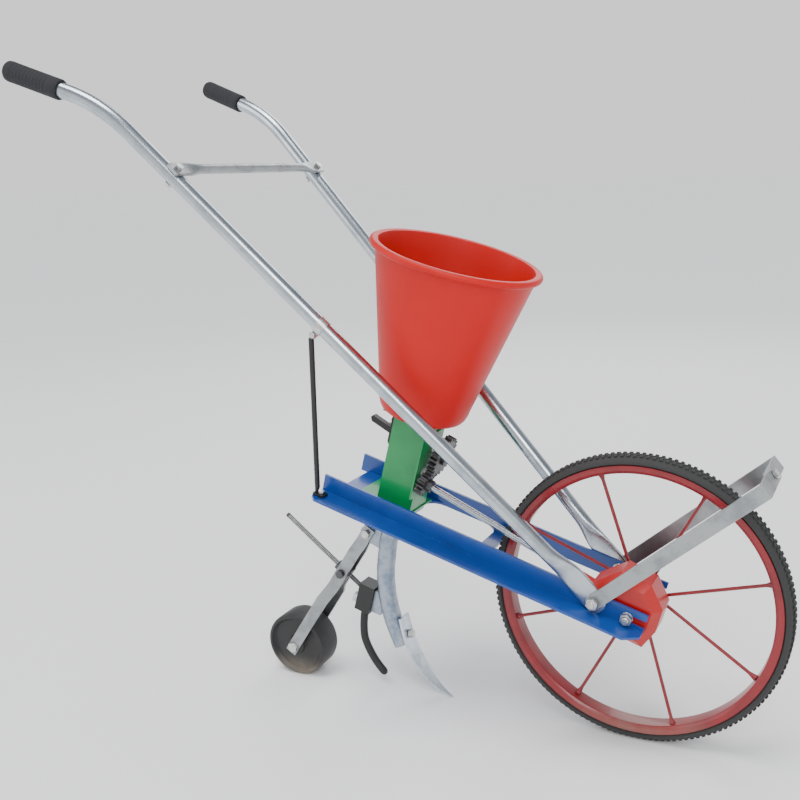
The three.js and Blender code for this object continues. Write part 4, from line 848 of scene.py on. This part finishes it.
class SEEDER_OT_hopper(PieceOperator, bpy.types.Operator):
    """Seed hopper with its rolled lip"""

    bl_idname = "seeder.hopper"
    bl_label = "Hopper"

    def make(self):
        s = sizes()
        base, wall = HOPPER_BASE, s.hopper_wall
        neck, rim = base + HOPPER_NECK_RISE, base + HOPPER_RIM_RISE
        cone = [(s.hopper_neck + (s.hopper_top - s.hopper_neck) * t, neck + (rim - 14 - neck) * t)
                for t in (0.06, 0.25, 0.5, 0.75, 0.94)]
        lip = []
        for k in range(13):
            a = math.radians(-80 + 165 * k / 12)
            lip.append((s.hopper_rim - 5 + 5 * math.cos(a), rim - 5 + 5 * math.sin(a)))
        profile = [(18, base), (52, base), (60, base + 0.8), (64, base + 3.5), (67, base + 8),
                   (69.6, base + 15), (s.hopper_neck, neck), *cone, (s.hopper_top, rim - 13),
                   (s.hopper_top + 1, rim - 10.5), *lip, (s.hopper_top + 1, rim),
                   (s.hopper_top - wall + 1, rim - 1), (s.hopper_top - wall, rim - 4)]
        profile += [(r - wall, z) for r, z in reversed(cone)]
        profile += [(s.hopper_neck - wall, neck), (66, base + 15), (62, base + 8), (54, base + 4.5),
                    (40, base + wall + 0.4), (18, base + wall)]
        hopper = lathe("hopper_bowl", profile, hopper_plastic(), (HOPPER_X, 0, 0), (0, 0, 1), 144,
                       angle=38)
        finish_piece(hopper, "frame", "hopper_red", "hopper")


def mirrored_point(point, side):
    return Vector((point.x, -side * point.y, point.z))


def handle_stations(side):
    """Stations from the flattened foot, over the bend, to the end of a handle tube."""
    radius = sizes().handle_radius
    bolt, bend, end = (mirrored_point(p, side) for p in (HANDLE_BOLT, HANDLE_BEND, HANDLE_END))
    rise = (bend - bolt).normalized()
    level = (end - bend).normalized()
    slope = Vector((rise.x, 0, rise.z)).normalized()
    sideways = Vector((0, 1, 0))
    stations = []
    for station in (-17, -16, -14, -10, 0, 14, 28, 40, 47, 54, 61, 68, 75, 82, 89, 96, 101):
        share = eased((station - 40) / 56)
        end_round = math.sqrt(max(1 - (max(-station - 4, 0) / 13.5) ** 2, 0.05))
        wide = (FOOT_HALF_WIDTH + (radius - FOOT_HALF_WIDTH) * share) * end_round
        deep = FOOT_HALF_DEPTH + (radius - FOOT_HALF_DEPTH) * share
        centre = bolt + slope * station + sideways * (rise.y * max(station, 0) * share)
        across = Vector((-slope.z, 0, slope.x))
        stations.append((centre, wide, deep, 1 - share, across, sideways))
    path = [bolt + rise * 112, bolt + rise * 400, bend - rise * 60]
    curve_start, curve_end = bend - rise * BEND_REACH, bend + level * BEND_REACH
    for k in range(17):
        t = k / 16
        path.append(curve_start * (1 - t) ** 2 + bend * 2 * t * (1 - t) + curve_end * t ** 2)
    path += [bend + level * 70, end - level * 3]
    for i, centre in enumerate(path):
        before = path[i - 1] if i else bolt
        after = path[min(i + 1, len(path) - 1)]
        tangent = (after - before).normalized()
        across = sideways.cross(tangent).normalized()
        if across.dot(stations[0][4]) < 0:
            across.negate()
        thick = tangent.cross(across)
        if thick.dot(sideways) < 0:
            thick.negate()
        stations.append((centre, radius, radius, 0, across, thick))
    return stations


class SEEDER_OT_handles(PieceOperator, bpy.types.Operator):
    """Handle tubes, grips, crossbar and support rod"""

    bl_idname = "seeder.handles"
    bl_label = "Handles"

    def make(self):
        s = sizes()
        for side, word in ((-1, "right"), (1, "left")):
            tube = sweep(f"{word}_handle_bent", handle_stations(side), bright_tube(), 36)
            finish_piece(tube, "frame", "bright_tube", f"{word}_handle_tube")
            end = mirrored_point(HANDLE_END, side)
            inward = (mirrored_point(HANDLE_BEND, side) - end).normalized()
            r, length = s.grip_radius, s.grip_length
            profile = [(0, 0), (r - 6, 0), (r - 2.5, 0.8), (r - 0.6, 2.8), (r, 6), (r, 11)]
            for k in range(11):
                along = 14 + k * 5.4
                profile += [(r - 0.1, along), (r - 0.35, along + 0.6), (r - 0.35, along + 1.6),
                            (r - 0.1, along + 2.2)]
            profile += [(r - 0.1, length - 9), (r, length - 7), (r, length - 2), (r - 0.8, length),
                        (s.handle_radius + 0.2, length), (s.handle_radius + 0.2, 5), (0, 5)]
            grip = lathe(f"{word}_grip_ribbed", profile, grip_rubber(), end, inward, 64,
                         closed=False, angle=45)
            finish_piece(grip, "frame", "grip_rubber", f"{word}_grip")
            refined(f"crossbar_bolt_{word}", bolt_steel(), 0.35)

        place = HANDLE_BOLT.lerp(HANDLE_BEND, 0.86)
        rise = (HANDLE_BEND - HANDLE_BOLT).normalized()
        normal = Vector((0, 1, 0)).cross(rise).normalized()
        if normal.z < 0:
            normal.negate()
        along = Vector((-normal.z, 0, normal.x))
        reach = -place.y + 12
        centre = Vector((place.x, 0, place.z)) + normal * (s.handle_radius + 2.8)
        half = [from_end - reach for from_end in
                (0.0, 1.0, 3, 8, 16, 24, 30, 36, 42, 48, 54, 60, 66, 100, 160)]
        bar = []
        for y in half + [-value for value in reversed(half)]:
            share = eased((reach - abs(y) - 26) / 34)
            rounding = 1 if reach - abs(y) > 6 else 0.75 + 0.25 * math.sqrt((reach - abs(y)) / 6)
            bar.append((centre + Vector((0, y, 0)), (11 - 4 * share) * rounding, 2.5 + 4.5 * share,
                        1 - share, along, normal))
        finish_piece(sweep("crossbar_pressed", bar, flat_steel(), 28), "frame", "steel", "handle_crossbar")
        refined("support_clamp", bolt_steel(), 0.4)
        refined("support_rod", black_paint(), 0.3)
        refined("support_bolt", bolt_steel(), 0.35)
        refined("handle_bolt_right", bolt_steel())
        refined("handle_bolt_left", bolt_steel())


class SEEDER_OT_tow_frame(PieceOperator, bpy.types.Operator):
    """Flat-bar tow frame over the wheel"""

    bl_idname = "seeder.tow_frame"
    bl_label = "Tow frame"

    def make(self):
        refined("tow_bar_right", flat_steel(), 0.8)
        refined("tow_bar_left", flat_steel(), 0.8)
        refined("tow_bolt", bolt_steel(), 0.4)


class SEEDER_OT_opener(PieceOperator, bpy.types.Operator):
    """Opener tube, share, clamp and covering tine"""

    bl_idname = "seeder.opener"
    bl_label = "Opener and tine"

    def make(self):
        refined("opener_tube", opener_iron(), 0.4, 40)
        refined("opener_share", share_steel(), 0.5)
        refined("share_bolt", bolt_steel(), 0.4)
        refined("tine_clamp", black_paint(), 0.8)
        refined("tine_clamp_bolt", bolt_steel(), 0.4)
        path = smooth_path(TINE_PATH, 7)
        taper = {0: 0.9, len(path) - 2: 0.85, len(path) - 1: 0.45}
        bar = round_stations(path, sizes().tine_radius)
        stations = []
        for i, (centre, wide, deep, square, across, thick) in enumerate(bar):
            share = taper.get(i, 1)
            stations.append((centre, wide * share, deep * share, square, across, thick))
        finish_piece(sweep("covering_tine_forged", stations, black_paint(), 24), "frame", "black_paint",
                     "covering_tine")


class SEEDER_OT_press_roller(PieceOperator, bpy.types.Operator):
    """Press roller with its arms and the depth screw"""

    bl_idname = "seeder.press_roller"
    bl_label = "Press roller"

    def make(self):
        s = sizes()
        low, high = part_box("press_roller")
        centre = LEVEL.inverted() @ ((Vector(low) + Vector(high)) / 2)
        r, half = s.roller_radius, s.roller_half_width
        profile = [(5.4, -half), (13, -half), (15, -half + 1), (17, -half + 5), (r - 11, -half + 5.5),
                   (r - 8.5, -half + 3), (r - 7, -half), (r - 4, -half), (r - 1.4, -half + 1.4),
                   (r - 0.2, -half + 5), (r, 0), (r - 0.2, half - 5), (r - 1.4, half - 1.4), (r - 4, half),
                   (r - 7, half), (r - 8.5, half - 3), (r - 11, half - 5.5), (17, half - 5), (15, half - 1),
                   (13, half), (5.4, half)]
        finish_piece(lathe("press_roller_moulded", profile, roller_black(), centre, segments=96, angle=35),
                     "press_roller", slot_of("press_roller"), "press_roller")
        for node in ("press_arm_right", "press_arm_left"):
            refined(node, flat_steel(), 0.6)
        refined("roller_axle", bolt_steel(), 0.4)
        refined("arm_pivot_bolt", bolt_steel(), 0.4)
        refined("depth_block", gear_iron(), 0.5)
        low, high = (Vector(corner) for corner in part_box("depth_screw"))
        inset_x, inset_z, middle = 0.0015, 0.0035, (low.y + high.y) / 2
        top = LEVEL.inverted() @ Vector((low.x + inset_x, middle, high.z - inset_z))
        foot = LEVEL.inverted() @ Vector((high.x - inset_x, middle, low.z + inset_z))
        along = (top - foot).normalized()
        core = rod("depth_screw_bar", foot, top, s.screw_radius - THREAD_DEPTH, gear_iron(), 24, 0.6)
        crests = threaded(
            "depth_screw_thread", foot + along * 34, top - along, s.screw_radius, bolt_steel())
        finish_piece(core, "frame", "steel", "depth_screw")
        finish_piece(crests, "frame", "steel")


class SEEDER_OT_stage(PieceOperator, bpy.types.Operator):
    """Floor, light and camera"""

    bl_idname = "seeder.stage"
    bl_label = "Stage"

    def make(self):
        scene = bpy.context.scene
        mesh = bpy.data.meshes.new("floor")
        far = 60
        corners = [(-far, -far, 0), (far, -far, 0), (far, far, 0), (-far, far, 0)]
        mesh.from_pydata(corners, [], [(0, 1, 2, 3)])
        mesh.materials.append(floor_finish())
        floor = bpy.data.objects.new("floor", mesh)
        scene.collection.objects.link(floor)

        world = bpy.data.worlds.new("studio")
        scene.world = world
        world.use_nodes = True
        tree = world.node_tree
        place = link_new(tree, "ShaderNodeTexCoord")
        split = link_new(tree, "ShaderNodeSeparateXYZ")
        ramp = link_new(tree, "ShaderNodeValToRGB")
        ramp.color_ramp.elements[0].position = 0.22
        ramp.color_ramp.elements[0].color = (0.96, 0.96, 0.97, 1)
        ramp.color_ramp.elements[1].position = 0.7
        ramp.color_ramp.elements[1].color = (0.30, 0.32, 0.35, 1)
        tree.links.new(place.outputs["Generated"], split.inputs[0])
        tree.links.new(split.outputs["Z"], ramp.inputs["Fac"])
        tree.links.new(ramp.outputs["Color"], tree.nodes["Background"].inputs["Color"])
        tree.nodes["Background"].inputs["Strength"].default_value = 1.15

        for name, at, width, power in (
            ("key", (1.6, -2.4, 2.8), 1.6, 62), ("fill", (-2.6, -1.8, 1.8), 2.0, 26),
            ("back", (-0.6, 2.6, 2.4), 1.8, 30),
        ):
            light = bpy.data.lights.new(name, "AREA")
            light.size = width
            light.energy = power
            lamp = bpy.data.objects.new(name, light)
            lamp.location = at
            aim = Vector((0.0, 0, 0.45)) - Vector(at)
            lamp.rotation_euler = aim.to_track_quat("-Z", "Y").to_euler()
            scene.collection.objects.link(lamp)
        overhead = bpy.data.lights.new("overhead", "SUN")
        overhead.energy = 2.3
        overhead.angle = math.radians(35)
        lamp = bpy.data.objects.new("overhead", overhead)
        lamp.rotation_euler = (math.radians(8), math.radians(-6), 0)
        scene.collection.objects.link(lamp)

        lens = bpy.data.cameras.new("camera")
        lens.lens = 42.5
        lens.sensor_width = 36
        lens.shift_x = -0.1526
        lens.shift_y = 0.0413
        camera = bpy.data.objects.new("camera", lens)
        turn = Matrix.Rotation(STAND_PITCH, 3, "Y")
        ahead = turn @ CAMERA_AHEAD
        up = turn @ CAMERA_UP
        right = ahead.cross(up).normalized()
        up = right.cross(ahead).normalized()
        pose = Matrix((right, up, -ahead.normalized())).transposed().to_4x4()
        pose.translation = LEVEL @ CAMERA_PLACE
        camera.matrix_world = pose
        scene.collection.objects.link(camera)
        scene.camera = camera


OPERATORS = (
    SEEDER_OT_stage, SEEDER_OT_frame, SEEDER_OT_wheel, SEEDER_OT_drive, SEEDER_OT_metering,
    SEEDER_OT_hopper, SEEDER_OT_handles, SEEDER_OT_tow_frame, SEEDER_OT_opener, SEEDER_OT_press_roller,
)


class SEEDER_PT_pieces(bpy.types.Panel):
    """The seeder's sizes, colours and pieces"""

    bl_label = "Push seeder"
    bl_idname = "SEEDER_PT_pieces"
    bl_space_type = "VIEW_3D"
    bl_region_type = "UI"
    bl_category = "Seeder"

    def draw(self, context):
        layout = self.layout
        for group in (context.scene.seeder_sizes, context.scene.seeder_colours):
            box = layout.box()
            for name in group.__annotations__:
                box.prop(group, name)
        for operator in OPERATORS:
            layout.operator(operator.bl_idname)


CLASSES = (SeederSizes, SeederColours, *OPERATORS, SEEDER_PT_pieces)


def register():
    for item in CLASSES:
        bpy.utils.register_class(item)
    bpy.types.Scene.seeder_sizes = PointerProperty(type=SeederSizes)
    bpy.types.Scene.seeder_colours = PointerProperty(type=SeederColours)


def unregister():
    del bpy.types.Scene.seeder_colours
    del bpy.types.Scene.seeder_sizes
    for item in reversed(CLASSES):
        bpy.utils.unregister_class(item)


def main():
    register()
    for operator in OPERATORS:
        group, name = operator.bl_idname.split(".")
        getattr(getattr(bpy.ops, group), name)()


if __name__ == "__main__":
    main()
